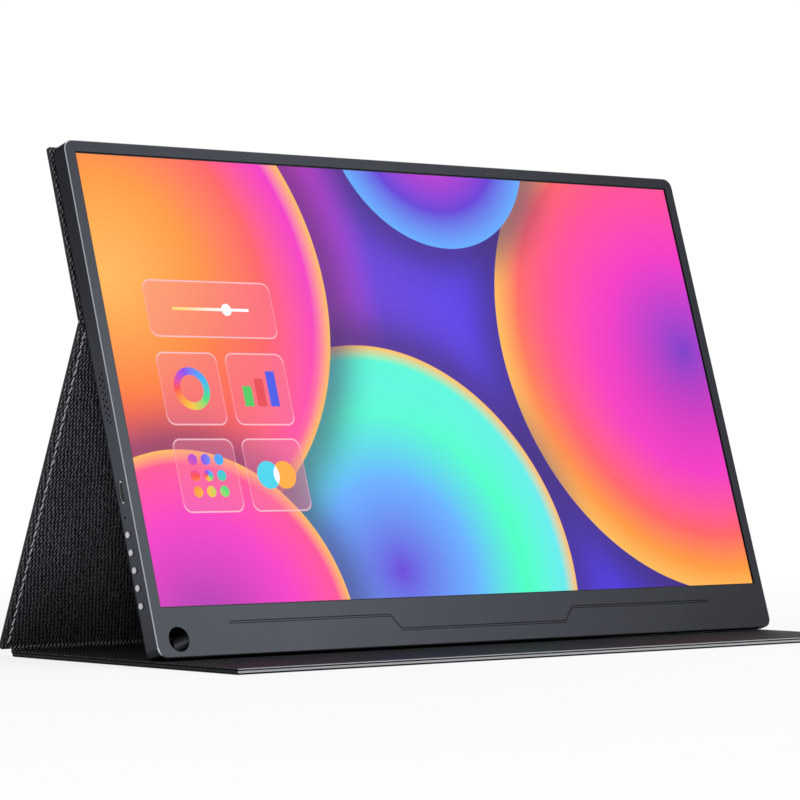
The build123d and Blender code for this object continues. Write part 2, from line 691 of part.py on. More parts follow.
# Threaded inserts for a wall or arm bracket, and the steel strip that the cover's magnets hold
with BuildPart() as bracket_inserts:
    with BuildSketch(at_depth(MONITOR_T)):
        with Locations(INSERT_PLACES):
            Circle(INSERT_R)
    extrude(amount=INSERT_L)
    with BuildSketch(at_depth(MONITOR_T)):
        with Locations(INSERT_PLACES):
            Circle(INSERT_BORE_R)
    extrude(amount=INSERT_DEPTH, mode=Mode.SUBTRACT)
pieces["bracket_inserts"] = bracket_inserts

upper_high = MONITOR_H + UPPER_PROUD
upper_mid = (FOLD_HEIGHT + FOLD_BACK + MONITOR_H) / 2
with BuildPart() as steel_strip:
    with BuildSketch(at_depth(FLOOR_DEPTH)):
        with Locations((0, upper_mid)):
            Rectangle(STEEL_L, STEEL_W)
    extrude(amount=STEEL_T)
pieces["steel_strip"] = steel_strip


# Cover: three stiff panels, each a board between an outer and an inner leather skin.
# A panel's plane lies half way through it, with y from one fold to the other and z to the inner side.
def panel_outline(plane, low, high, low_corner, high_corner):
    """Outline of a panel's skin, with its own corner radius at each end."""
    with BuildSketch(plane) as outline:
        with Locations((0, (low + high) / 2)):
            Rectangle(MONITOR_W, high - low)
        fillet(outline.vertices().group_by(Axis.Y)[0], low_corner)
        fillet(outline.vertices().group_by(Axis.Y)[-1], high_corner)
    return outline.sketch


def panel_inside(plane, low, high, inset):
    """Outline of the room inside a panel's turned edge."""
    with BuildSketch(plane) as inside:
        with Locations((0, (low + high) / 2)):
            Rectangle(MONITOR_W - 2 * inset, high - low - 2 * inset)
    return inside.sketch


def magnet_outlines(plane, height, gap):
    """Row of magnet outlines across a panel, each larger all round by the gap."""
    with BuildSketch(plane) as row:
        with Locations((0, height)):
            with GridLocations(MAGNET_PITCH, 1, MAGNET_COUNT, 1):
                Rectangle(MAGNET_L + 2 * gap, MAGNET_W + 2 * gap)
    return row.sketch


def outer_skin(plane, thickness, low, high, low_corner, high_corner):
    """Leather sheet on the outside of a panel."""
    with BuildPart() as skin:
        extrude(
            panel_outline(plane.offset(-thickness / 2), low, high, low_corner, high_corner),
            amount=SKIN_T,
        )
        outside = skin.faces().sort_by(Axis(plane.origin, plane.z_dir))[0]
        fillet(outside.edges(), EDGE_ROUND)
    return skin


def inner_skin(plane, thickness, low, high, low_corner, high_corner):
    """Leather on the inside of a panel, with the turned edge that closes it round its board."""
    with BuildPart() as skin:
        extrude(
            panel_outline(plane.offset(thickness / 2), low, high, low_corner, high_corner),
            amount=-(thickness - SKIN_T),
        )
        inside = skin.faces().sort_by(Axis(plane.origin, plane.z_dir))[-1]
        fillet(inside.edges(), EDGE_ROUND)
        extrude(
            panel_inside(plane.offset(thickness / 2 - SKIN_T), low, high, COVER_EDGE),
            amount=-thickness,
            mode=Mode.SUBTRACT,
        )
    return skin


def stiffener(plane, thickness, low, high, magnets_at=None):
    """Board inside a panel, with windows for a row of magnets where it holds them."""
    face = plane.offset(thickness / 2 - SKIN_T)
    board_t = thickness - 2 * SKIN_T
    with BuildPart() as board:
        extrude(panel_inside(face, low, high, COVER_EDGE + BOARD_GAP), amount=-board_t)
        if magnets_at is not None:
            extrude(magnet_outlines(face, magnets_at, MAGNET_GAP), amount=-board_t, mode=Mode.SUBTRACT)
    return board


def magnets(plane, thickness, height):
    """Row of block magnets, as thick as the board they sit in."""
    with BuildPart() as row:
        extrude(
            magnet_outlines(plane.offset(thickness / 2 - SKIN_T), height, 0),
            amount=-(thickness - 2 * SKIN_T),
        )
    return row


# Base panel, flat on the table, and the fold strip that the leg turns on
base_plane = Plane.XY.offset(BASE_T / 2)
base_low = -BASE_DEPTH / 2
base_high = lower_y - BASE_FOLD_BACK
base_magnet_y = base_low + BASE_MAGNET_FROM_FRONT
pieces["base_outer_skin"] = outer_skin(
    base_plane, BASE_T, base_low, base_high, FRONT_CORNER, REAR_CORNER
)
pieces["base_board"] = stiffener(base_plane, BASE_T, base_low, base_high, base_magnet_y)
pieces["base_inner_skin"] = inner_skin(
    base_plane, BASE_T, base_low, base_high, FRONT_CORNER, REAR_CORNER
)
pieces["base_magnets"] = magnets(base_plane, BASE_T, base_magnet_y)

with BuildPart() as lower_fold:
    with BuildSketch(across(lower_y, lower_z)):
        Rectangle(BASE_FOLD_BACK, 2 * BEAD_R, align=(Align.MAX, Align.CENTER))
        Circle(BEAD_R)
    extrude(amount=MONITOR_W / 2 - FOLD_INSET, both=True)
pieces["lower_fold"] = lower_fold

# Leg panel: its outer skin runs on to both folds, its board and inner skin stop short of them
leg_low = FOLD_BACK
leg_high = leg_length - FOLD_BACK
leg_skin = outer_skin(leg_plane, COVER_T, 0, leg_length, LEG_CORNER, FOLD_CORNER)
with BuildPart() as leg_outer_skin:
    add(leg_skin.part)
    with BuildSketch(across(lower_y, lower_z)):
        Circle(BEAD_R + FOLD_GAP)
    extrude(amount=MONITOR_W, both=True, mode=Mode.SUBTRACT)
    with BuildSketch(across(upper_y, upper_z)):
        Circle(HINGE_R + FOLD_GAP)
    extrude(amount=MONITOR_W, both=True, mode=Mode.SUBTRACT)
pieces["leg_outer_skin"] = leg_outer_skin
pieces["leg_board"] = stiffener(leg_plane, COVER_T, leg_low, leg_high)
pieces["leg_inner_skin"] = inner_skin(
    leg_plane, COVER_T, leg_low, leg_high, LEG_CORNER, FOLD_CORNER
)

# Upper panel, held to the monitor's back by its magnets, and the fold strip above the leg
upper_plane = at_depth(MONITOR_T + HINGE_R)
upper_low = FOLD_HEIGHT + FOLD_BACK
pieces["upper_outer_skin"] = outer_skin(
    upper_plane, COVER_T, upper_low, upper_high, FOLD_CORNER, UPPER_CORNER
)
pieces["upper_board"] = stiffener(upper_plane, COVER_T, upper_low, upper_high, upper_mid)
pieces["upper_inner_skin"] = inner_skin(
    upper_plane, COVER_T, upper_low, upper_high, FOLD_CORNER, UPPER_CORNER
)
pieces["cover_magnets"] = magnets(upper_plane, COVER_T, upper_mid)

with BuildPart() as upper_fold:
    with BuildSketch(profile_plane):
        with Locations((MONITOR_T + HINGE_R, FOLD_HEIGHT)):
            Rectangle(2 * HINGE_R, FOLD_BACK, align=(Align.CENTER, Align.MIN))
            Circle(HINGE_R)
    extrude(amount=MONITOR_W / 2, both=True)
pieces["upper_fold"] = upper_fold

os.makedirs("parts", exist_ok=True)
for name, piece in pieces.items():
    piece.part.label = name
    export_step(piece.part, f"parts/{name}.step")
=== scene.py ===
"""Portable monitor standing on its folding leather cover, dressed for rendering."""

import json
import logging
import math
from dataclasses import dataclass, field
from enum import Enum
from typing import Iterable, Mapping, Optional, Sequence, Union

import bpy
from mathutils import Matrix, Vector, noise


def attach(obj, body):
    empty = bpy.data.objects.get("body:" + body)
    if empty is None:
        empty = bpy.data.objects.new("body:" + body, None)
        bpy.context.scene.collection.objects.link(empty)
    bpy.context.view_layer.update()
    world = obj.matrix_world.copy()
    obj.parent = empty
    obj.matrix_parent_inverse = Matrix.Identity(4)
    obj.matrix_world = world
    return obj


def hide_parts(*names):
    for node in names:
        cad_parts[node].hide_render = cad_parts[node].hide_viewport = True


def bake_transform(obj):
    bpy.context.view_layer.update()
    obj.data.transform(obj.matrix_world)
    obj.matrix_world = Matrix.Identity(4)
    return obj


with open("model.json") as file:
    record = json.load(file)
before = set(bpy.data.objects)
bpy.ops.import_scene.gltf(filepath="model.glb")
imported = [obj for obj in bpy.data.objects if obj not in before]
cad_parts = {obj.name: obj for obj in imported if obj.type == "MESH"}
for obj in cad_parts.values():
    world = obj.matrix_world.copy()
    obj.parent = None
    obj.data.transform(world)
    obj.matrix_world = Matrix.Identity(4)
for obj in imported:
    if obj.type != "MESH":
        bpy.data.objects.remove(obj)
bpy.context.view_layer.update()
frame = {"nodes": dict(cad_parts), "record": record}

LOG = logging.getLogger("monitor")
MM = 0.001
TURN = 2.0 * math.pi
PLACE = "leather_place"
WEAR_AND_HIGHLIGHT = "edge_wear"
ACROSS = Vector((1.0, 0.0, 0.0))
BACK = Vector((0.0, 1.0, 0.0))
COVER_WIDTH = 355.36
Socket = bpy.types.NodeSocket
Colour = tuple[float, float, float]
Stops = tuple[tuple[float, Colour], ...]
Point2 = tuple[float, float]
Point3 = tuple[float, float, float]


def srgb(red: float, green: float, blue: float) -> Colour:
    """Turn a colour written as 0 to 255 into the linear values that a shader takes.

    Args:
        red: Red, 0 to 255.
        green: Green, 0 to 255.
        blue: Blue, 0 to 255.

    Returns:
        The linear colour.
    """
    return tuple(
        v / 12.92 if v <= 0.04045 else ((v + 0.055) / 1.055) ** 2.4
        for v in (c / 255 for c in (red, green, blue))
    )


def scaled(colour: Colour, share: float) -> Colour:
    """Make a linear colour darker or lighter, up to full strength."""
    return tuple(min(1.0, share * part) for part in colour)


# Shader maths


class Signal:
    """One number of a shader, with arithmetic that adds Math nodes."""

    def __init__(self, graph: "Graph", socket: Socket) -> None:
        """Wrap an output socket of a graph."""
        self.graph = graph
        self.socket = socket

    def math(self, operation: str, *others: "Operand") -> "Signal":
        """Apply a Math node to this value and any others.

        Args:
            operation: Name of the Math node's operation.
            others: Second and third operands.

        Returns:
            The result.
        """
        return self.graph.math(operation, self, *others)

    def __add__(self, other: "Operand") -> "Signal":
        """Add."""
        return self.math("ADD", other)

    def __sub__(self, other: "Operand") -> "Signal":
        """Subtract."""
        return self.math("SUBTRACT", other)

    def __rsub__(self, other: "Operand") -> "Signal":
        """Subtract this from a number."""
        return self.graph.math("SUBTRACT", other, self)

    def __mul__(self, other: "Operand") -> "Signal":
        """Multiply."""
        return self.math("MULTIPLY", other)

    def __truediv__(self, other: "Operand") -> "Signal":
        """Divide."""
        return self.math("DIVIDE", other)

    def __neg__(self) -> "Signal":
        """Change the sign."""
        return self * -1.0

    def __abs__(self) -> "Signal":
        """Take the size without its sign."""
        return self.math("ABSOLUTE")

    __radd__ = __add__
    __rmul__ = __mul__

    def sin(self) -> "Signal":
        """Take the sine of an angle in radians."""
        return self.math("SINE")

    def cos(self) -> "Signal":
        """Take the cosine of an angle in radians."""
        return self.math("COSINE")

    def at_least(self, other: "Operand") -> "Signal":
        """Take the larger of the two."""
        return self.math("MAXIMUM", other)

    def at_most(self, other: "Operand") -> "Signal":
        """Take the smaller of the two."""
        return self.math("MINIMUM", other)

    def hypot(self, other: "Signal") -> "Signal":
        """Take the length of a line that runs this far one way and that far across."""
        return (self * self + other * other).math("SQRT")

    def rise(self, low: float, high: float) -> "Signal":
        """Go smoothly from 0 at one value to 1 at another.

        Args:
            low: Where the result is 0.
            high: Where the result is 1.

        Returns:
            The smooth step.
        """
        node = self.graph.node(
            "ShaderNodeMapRange",
            {"interpolation_type": "SMOOTHSTEP"},
            {"Value": self, "From Min": low, "From Max": high},
        )
        return Signal(self.graph, node.outputs[0])


Operand = Union[Signal, float, int]


class Graph:
    """Node tree of a material or of the world, built by calls."""

    def __init__(self, name: str, world: bool = False) -> None:
        """Start a material, or a world, with only its output.

        Args:
            name: Its name.
            world: Whether it is a world.
        """
        self.owner = bpy.data.worlds.new(name) if world else bpy.data.materials.new(name)
        self.owner.use_nodes = True
        self.tree = self.owner.node_tree
        self.tree.nodes.clear()
        self.out = self.node("ShaderNodeOutputWorld" if world else "ShaderNodeOutputMaterial")

    def node(
        self,
        kind: str,
        settings: Optional[Mapping[str, object]] = None,
        inputs: Optional[Mapping[Union[str, int], object]] = None,
    ) -> bpy.types.Node:
        """Add a node, set its options, then fill its sockets.

        Args:
            kind: Blender's name of the node type.
            settings: Options such as an operation, or "stops" for a ramp.
            inputs: Values, signals or sockets by socket name or number.

        Returns:
            The new node.
        """
        node = self.tree.nodes.new(kind)
        for key, value in (settings or {}).items():
            if key == "stops":
                self._fill_ramp(node.color_ramp, value)
            else:
                setattr(node, key, value)
        for key, value in (inputs or {}).items():
            socket = node.inputs[key]
            if isinstance(value, Signal):
                value = value.socket
            if isinstance(value, Socket):
                self.tree.links.new(value, socket)
            elif isinstance(value, tuple) and socket.type == "RGBA":
                socket.default_value = (*value, 1.0)
            else:
                socket.default_value = value
        return node

    @staticmethod
    def _fill_ramp(ramp: bpy.types.ColorRamp, stops: Stops) -> None:
        """Give a colour ramp its stops.

        Args:
            ramp: The ramp.
            stops: Places from 0 to 1, each with its colour.
        """
        while len(ramp.elements) < len(stops):
            ramp.elements.new(1.0)
        for element, (position, colour) in zip(ramp.elements, stops):
            element.position = position
            element.color = (*colour, 1.0)

    def math(self, operation: str, *values: Operand) -> Signal:
        """Add a Math node.

        Args:
            operation: Name of the operation.
            values: Its operands.

        Returns:
            The result.
        """
        node = self.node("ShaderNodeMath", {"operation": operation}, dict(enumerate(values)))
        return Signal(self, node.outputs[0])

    def dot(self, vector: Socket, direction: Iterable[float]) -> Signal:
        """Measure a vector along a fixed direction.

        Args:
            vector: Vector socket.
            direction: The direction.

        Returns:
            The dot product.
        """
        node = self.node(
            "ShaderNodeVectorMath", {"operation": "DOT_PRODUCT"}, {0: vector, 1: tuple(direction)}
        )
        return Signal(self, node.outputs["Value"])

    def mix(self, factor: Operand, first: Union[Colour, Socket], second: Union[Colour, Socket]) -> Socket:
        """Mix two colours.

        Args:
            factor: Share of the second colour.
            first: Colour where the factor is 0.
            second: Colour where the factor is 1.

        Returns:
            The mixed colour's socket.
        """
        node = self.node(
            "ShaderNodeMix",
            {"data_type": "RGBA", "blend_type": "MIX", "clamp_factor": True},
            {0: factor, 6: first, 7: second},
        )
        return node.outputs[2]

    def ramp(self, value: Operand, stops: Stops) -> Socket:
        """Turn a number into a colour through a smooth ramp."""
        return self.node("ShaderNodeValToRGB", {"stops": stops}, {"Fac": value}).outputs[0]

    def noise(self, vector: Socket, scale: float, detail: float = 2.0, rough: float = 0.5) -> Signal:
        """Add a noise texture.

        Args:
            vector: Where to look it up.
            scale: Features per unit of the vector.
            detail: Octaves.
            rough: Strength of the finer octaves.

        Returns:
            Noise of about 0 to 1.
        """
        node = self.node(
            "ShaderNodeTexNoise",
            None,
            {"Vector": vector, "Scale": scale, "Detail": detail, "Roughness": rough},
        )
        return Signal(self, node.outputs["Fac"])

    def place(self) -> Socket:
        """Point of the piece in the part's own frame, in metres."""
        return self.node("ShaderNodeTexCoord").outputs["Object"]

    def facing(self, direction: Vector) -> Signal:
        """Measure how squarely the surface faces a direction, from -1 to 1."""
        return self.dot(self.node("ShaderNodeTexCoord").outputs["Normal"], direction)

    def stored(self, name: str) -> bpy.types.Node:
        """Read a value that is stored on the points of the mesh."""
        return self.node("ShaderNodeAttribute", {"attribute_name": name})

    def bump(self, height: Signal, depth: float) -> Socket:
        """Turn a height of 0 to 1 into a normal, with the depth in metres of a height of 1."""
        inputs = {"Height": height, "Distance": depth, "Strength": 1.0}
        return self.node("ShaderNodeBump", None, inputs).outputs[0]

    def shown(self) -> Signal:
        """Mark the rays that show a background: those of the camera, of gloss and of glass.

        Returns:
            1 for those rays, and 0 for light on its way to the object.
        """
        rays = self.node("ShaderNodeLightPath").outputs
        camera, gloss, glass = (
            Signal(self, rays[f"Is {kind} Ray"]) for kind in ("Camera", "Glossy", "Transmission")
        )
        return camera.at_least(gloss.at_least(glass))

    def finish(self, shader: bpy.types.Node) -> Union[bpy.types.Material, bpy.types.World]:
        """Link the last shader to the output and hand over the material or world."""
        self.tree.links.new(shader.outputs[0], self.out.inputs[0])
        return self.owner

    def surface(self, **sockets: object) -> bpy.types.Material:
        """Finish the material with a Principled shader.

        Args:
            sockets: Values by socket name, with underscores for spaces.

        Returns:
            The material.
        """
        inputs = {key.replace("_", " "): value for key, value in sockets.items()}
        return self.finish(self.node("ShaderNodeBsdfPrincipled", None, inputs))

    def between(
        self, factor: Signal, first: bpy.types.Node, second: bpy.types.Node
    ) -> Union[bpy.types.Material, bpy.types.World]:
        """Finish with a mix of two shaders.

        Args:
            factor: Share of the second shader.
            first: Shader where the factor is 0.
            second: Shader where the factor is 1.

        Returns:
            The material or world.
        """
        inputs = {0: factor, 1: first.outputs[0], 2: second.outputs[0]}
        return self.finish(self.node("ShaderNodeMixShader", None, inputs))


# Finishes


@dataclass(frozen=True)
class LineGroove:
    """The front frame's line groove, which dips along the middle, in millimetres, with painted shade along
    its two edges.

    Heights count from the frame's bottom edge, and reaches from its middle to either side.
    """

    origin: Vector
    up: Vector
    dip_height: float = 7.2
    end_height: float = 13.5
    dip_reach: float = 47.5
    slope_run: float = 5.5
    reach: float = 139.0
    half_width: float = 0.45
    dark_core: float = 0.08
    dark_fade: float = 0.3

    def edges(self, g: Graph, at: Socket) -> Signal:
        """Mark the groove's two edges, where painted shade goes.

        Args:
            g: Graph to add to.
            at: Point of the piece.

        Returns:
            1 on the edges and 0 elsewhere.
        """
        x = abs(g.dot(at, ACROSS)) / MM
        y = (g.dot(at, self.up) - self.origin.dot(self.up)) / MM
        risen = ((x - self.dip_reach) / self.slope_run).at_least(0.0).at_most(1.0)
        off = abs(y - (self.dip_height + (self.end_height - self.dip_height) * risen))
        line = 1.0 - abs(off - self.half_width).rise(self.dark_core, self.dark_fade)
        return line * (1.0 - x.rise(self.reach, self.reach + self.dark_fade))


@dataclass(frozen=True)
class MetalFinish:
    """Blasted or cut metal with fine grain, broad blotches and slight change of gloss.

    Grain and blotches are in features per metre. The edge colour goes on the surfaces that
    stand between edge-on and square to the front. Graze is how strong reflections are at a
    low angle.
    """

    name: str
    colour: Colour
    rough: float
    grain: float = 1500.0
    grain_depth: float = 0.000012
    grain_light: float = 1.45
    grain_share: float = 0.35
    grain_rough: float = 0.10
    blotch: float = 14.0
    blotch_dark: float = 0.9
    blotch_rough: float = 0.16
    edge_colour: Optional[Colour] = None
    edge_rough: float = 0.2
    graze: float = 0.45
    front: Vector = field(default_factory=lambda: -BACK)
    groove: Optional[LineGroove] = None
    painted_groove_shade: Colour = srgb(8, 8, 9)
    painted_groove_shade_share: float = 0.85

    def build(self) -> bpy.types.Material:
        """Build the material.

        Returns:
            The material.
        """
        g = Graph(self.name)
        at = g.place()
        fine = g.noise(at, self.grain, 3.0, 0.6)
        broad = g.noise(at, self.blotch)
        rough = self.rough + self.blotch_rough * (broad - 0.5) + self.grain_rough * (fine - 0.5)
        colour = g.mix(broad.rise(0.3, 0.7), scaled(self.colour, self.blotch_dark), self.colour)
        specks = fine.rise(0.35, 0.8) * self.grain_share
        colour = g.mix(specks, colour, scaled(self.colour, self.grain_light))
        if self.edge_colour is not None:
            square_on = abs(g.facing(self.front))
            cut = square_on.rise(0.3, 0.45) * (1.0 - square_on.rise(0.88, 0.96))
            colour = g.mix(cut, colour, self.edge_colour)
            rough = rough * (1.0 - cut) + self.edge_rough * cut
        # Painted shade: the metal is darkened along the groove's two edges.
        if self.groove is not None:
            colour = g.mix(self.groove.edges(g, at) * self.painted_groove_shade_share, colour, self.painted_groove_shade)
        return g.surface(
            Base_Color=colour,
            Metallic=1.0,
            Specular_Tint=(self.graze, self.graze, self.graze),
            Roughness=rough,
            Normal=g.bump(fine, self.grain_depth),
        )


@dataclass(frozen=True)
class PlainFinish:
    """Moulded plastic, film, board or paint with mottling and a fine texture.

    The mottle is in features per metre, and stripes, where there are any, in radians per metre.
    """

    name: str
    colour: Colour
    rough: float = 0.5
    mottle: float = 220.0
    mottle_dark: float = 0.8
    depth: float = 0.00001
    stripes: float = 0.0
    stripe_light: float = 1.8
    stripe_share: float = 0.5
    gloss: float = 0.5
    rough_change: float = 0.2

    def build(self) -> bpy.types.Material:
        """Build the material.

        Returns:
            The material.
        """
        g = Graph(self.name)
        at = g.place()
        spots = g.noise(at, self.mottle, 3.0)
        height = g.noise(at, 4.0 * self.mottle)
        colour = g.mix(spots.rise(0.3, 0.7), scaled(self.colour, self.mottle_dark), self.colour)
        if self.stripes:
            lines = (g.dot(at, ACROSS * self.stripes) + 3.0 * spots).sin().rise(0.55, 0.75)
            colour = g.mix(lines * self.stripe_share, colour, scaled(self.colour, self.stripe_light))
        return g.surface(
            Base_Color=colour,
            Specular_IOR_Level=self.gloss,
            Roughness=self.rough + self.rough_change * (spots - 0.5),
            Normal=g.bump(height, self.depth),
        )


@dataclass(frozen=True)
class ClothFinish:
    """Plain woven cloth behind the grille, with its threads' pitch in millimetres."""

    name: str
    colour: Colour
    thread: float = 0.3
    thread_dark: float = 0.4
    depth: float = 0.00005
    rough: float = 0.9

    def build(self) -> bpy.types.Material:
        """Build the material.

        Returns:
            The material.
        """
        g = Graph(self.name)
        at = g.place()
        turn = TURN / (self.thread * MM)
        warp = g.dot(at, (0.0, turn, 0.0)).sin()
        weft = g.dot(at, (0.0, 0.0, turn)).sin()
        weave = 0.5 + 0.5 * warp * weft
        colour = g.mix(weave, scaled(self.colour, self.thread_dark), self.colour)
        return g.surface(Base_Color=colour, Roughness=self.rough, Normal=g.bump(weave, self.depth))


@dataclass(frozen=True)
class LeatherFinish:
    """Pressed cover leather: slim upright beads in staggered rows, and smooth edges that are rubbed light
    and carry a painted highlight.

    The grain is looked up in millimetres. Pitches are between beads of one row and of one
    column, and slant is how far the columns lean. A slow drift bends the rows and a finer
    wander shakes each bead out of line: their scales are in features per millimetre, and
    shift_x and shift_y say how far each of the two moves the grain. A plateau over 1 flattens
    a bead along its length. A flank of 1 makes its section a plain wave, and less makes it
    slimmer. Press holds a bead's least height and how much more it may have. Painted shade
    darkens the leather by fold_painted_shade at a fold, and less up to fold_reach from it.
    """

    name: str
    pit: Colour = srgb(4, 4, 6)
    ground: Colour = srgb(46, 47, 51)
    # Bead top colour: partly the grain's tone, partly a painted glint.
    top: Colour = srgb(150, 152, 158)
    edge: Colour = srgb(24, 24, 26)
    # Light edge colour: rubbed edges, plus a painted highlight on lit edges.
    wear_and_highlight: Colour = srgb(150, 151, 154)
    pitch_x: float = 1.8
    pitch_y: float = 3.8
    slant: float = 0.24
    drift_scale: float = 0.09
    wander_scale: float = 0.55
    shift_x: Point2 = (1.2, 1.3)
    shift_y: Point2 = (1.6, 2.4)
    plateau: float = 1.7
    flank: float = 0.45
    press: Point2 = (0.35, 1.3)
    pore_scale: float = 3.4
    pore_share: float = 0.12
    handled_scale: float = 0.03
    depth: float = 0.00024
    rough: float = 0.66
    gloss: float = 0.14
    fold_painted_shade: float = 0.0
    fold_reach: float = 60.0

    def build(self) -> bpy.types.Material:
        """Build the material.

        Returns:
            The material.
        """
        g = Graph(self.name)
        at = g.stored(PLACE).outputs["Vector"]
        wear_and_highlight_mask = Signal(g, g.stored(WEAR_AND_HIGHLIGHT).outputs["Fac"])
        wander = g.noise(at, self.wander_scale, 3.0, 0.6) - 0.5
        drift = g.noise(at, self.drift_scale) - 0.5
        x = g.dot(at, (1.0, -self.slant, 0.0)) + self.shift_x[0] * drift + self.shift_x[1] * wander
        y = g.dot(at, BACK) + self.shift_y[0] * drift + self.shift_y[1] * wander
        slim = (x * (TURN / self.pitch_x)).cos()
        long = ((y * (TURN / self.pitch_y)).cos() * self.plateau).at_most(1.0).at_least(-1.0)
        bead = slim * (self.flank + (1.0 - self.flank) * abs(slim)) * long
        pores = g.noise(at, self.pore_scale, 4.0, 0.7)
        pressed = self.press[0] + self.press[1] * g.noise(at, 0.9)
        height = 0.5 + 0.55 * bead * pressed + 0.5 * (pores - 0.5)
        # The third coordinate of the lookup is how far round an edge the point is.
        grained = 1.0 - g.dot(at, (0.0, 0.0, 1.0)).rise(0.15, 0.5)
        handled = g.noise(at, self.handled_scale, 3.0).rise(0.3, 0.75)
        low = g.mix(height.rise(0.1, 0.42), self.pit, self.ground)
        # Lighter bead tops: grain tone with a painted glint.
        colour = g.mix(height.rise(0.56, 0.92) * (0.8 + 0.2 * handled), low, self.top)
        # Painted shade: darker towards the fold, where the base and the monitor shade the leg.
        if self.fold_painted_shade:
            near_fold = 1.0 - g.dot(at, BACK).rise(0.0, self.fold_reach)
            colour = g.mix(near_fold * self.fold_painted_shade, colour, self.pit)
        colour = g.mix(grained, self.edge, colour)
        # Rubbed edges and painted highlight: the light edge colour, strongest on the base's front edge.
        colour = g.mix(wear_and_highlight_mask * (0.7 + 0.6 * pores), colour, self.wear_and_highlight)
        relief = height * grained + self.pore_share * pores * (1.0 - grained)
        return g.surface(
            Base_Color=colour,
            Roughness=self.rough - 0.12 * height * grained + 0.14 * (pores - 0.5) - 0.14 * wear_and_highlight_mask,
            Specular_IOR_Level=self.gloss,
            Normal=g.bump(relief, self.depth),
        )


@dataclass(frozen=True)
class ThreadFinish:
    """Twisted waxed thread, with the pitch of its twist in millimetres."""

    name: str
    colour: Colour
    twist: float = 0.5
    ply_dark: float = 0.45
    fuzz_scale: float = 4.0
    depth: float = 0.00008
    rough: float = 0.62
    sheen: float = 0.2

    def build(self) -> bpy.types.Material:
        """Build the material.

        Returns:
            The material.
        """
        g = Graph(self.name)
        at = g.stored(PLACE).outputs["Vector"]
        turn = TURN / self.twist
        plies = 0.5 + 0.5 * g.dot(at, (turn, 0.7 * turn, 0.0)).sin()
        fuzz = g.noise(at, self.fuzz_scale, 3.0)
        return g.surface(
            Base_Color=g.mix(plies * 0.6 + fuzz * 0.4, scaled(self.colour, self.ply_dark), self.colour),
            Roughness=self.rough,
            Sheen_Weight=self.sheen,
            Normal=g.bump(plies * 0.7 + fuzz * 0.3, self.depth),
        )


# The lit screen and its picture

ORANGE = srgb(255, 150, 50)
RED = srgb(244, 74, 44)
CORAL = srgb(255, 92, 96)
PINK = srgb(255, 70, 150)
MAGENTA = srgb(240, 40, 196)
PLUM = srgb(150, 40, 170)
VIOLET = srgb(96, 52, 214)
INDIGO = srgb(52, 28, 150)
BLUE = srgb(74, 48, 240)
AZURE = srgb(96, 170, 255)
CYAN = srgb(96, 232, 236)
GREEN = srgb(62, 255, 190)
AMBER = srgb(255, 186, 84)

SOFT_EDGE = 0.0012
DISC_SHADE = srgb(52, 12, 104)
TILE_TINT = srgb(236, 120, 150)
TILE_RIM = srgb(255, 205, 215)
BORDER = srgb(20, 20, 22)
UNLIT = srgb(8, 8, 9)
WHEEL = (
    (0.0, srgb(255, 60, 60)),
    (0.2, srgb(255, 190, 40)),
    (0.4, srgb(60, 220, 110)),
    (0.6, srgb(40, 170, 250)),
    (0.8, srgb(130, 60, 240)),
    (1.0, srgb(255, 60, 60)),
)


@dataclass(frozen=True)
class Disc:
    """A disc of the picture, in screen heights, with its colours from the rim to the middle.

    Low and high are those colours at the foot and at the top of the screen.
    """

    x: float
    y: float
    radius: float
    low: Stops
    high: Stops
    shade: float = 0.17
    shade_share: float = 0.7


class Glyph(Enum):
    """Plain shapes shown on the tiles."""

    RING = "ring"
    BARS = "bars"
    DOTS = "dots"
    PAIR = "pair"
    SLIDER = "slider"


@dataclass(frozen=True)
class Tile:
    """A rounded see-through tile on the picture, by its middle, half sizes, shape and corner."""

    x: float
    y: float
    half_w: float
    half_h: float
    glyph: Glyph
    corner: float = 0.022
    tint_share: float = 0.34
    tint_edge: float = 0.001
    rim_inset: float = 0.002
    rim_core: float = 0.0008
    rim_fade: float = 0.0026
    glyph_share: float = 0.6

    def away(self, x: Signal, y: Signal) -> Signal:
        """Measure the distance to the tile's edge.

        Args:
            x: Across the screen.
            y: Up the screen.

        Returns:
            The distance, less than 0 inside.
        """
        over_x = abs(x - self.x) - (self.half_w - self.corner)
        over_y = abs(y - self.y) - (self.half_h - self.corner)
        outside = over_x.at_least(0.0).hypot(over_y.at_least(0.0))
        return outside + over_x.at_least(over_y).at_most(0.0) - self.corner


def within(distance: Signal, radius: float) -> Signal:
    """Mask what lies nearer than a radius, with a soft edge."""
    return 1.0 - distance.rise(radius, radius + SOFT_EDGE)


def nearest(along: Signal, pitch: float) -> Signal:
    """Number the nearest of three rows or columns, from -1 to 1."""
    return (along / pitch).math("ROUND").at_most(1.0).at_least(-1.0)


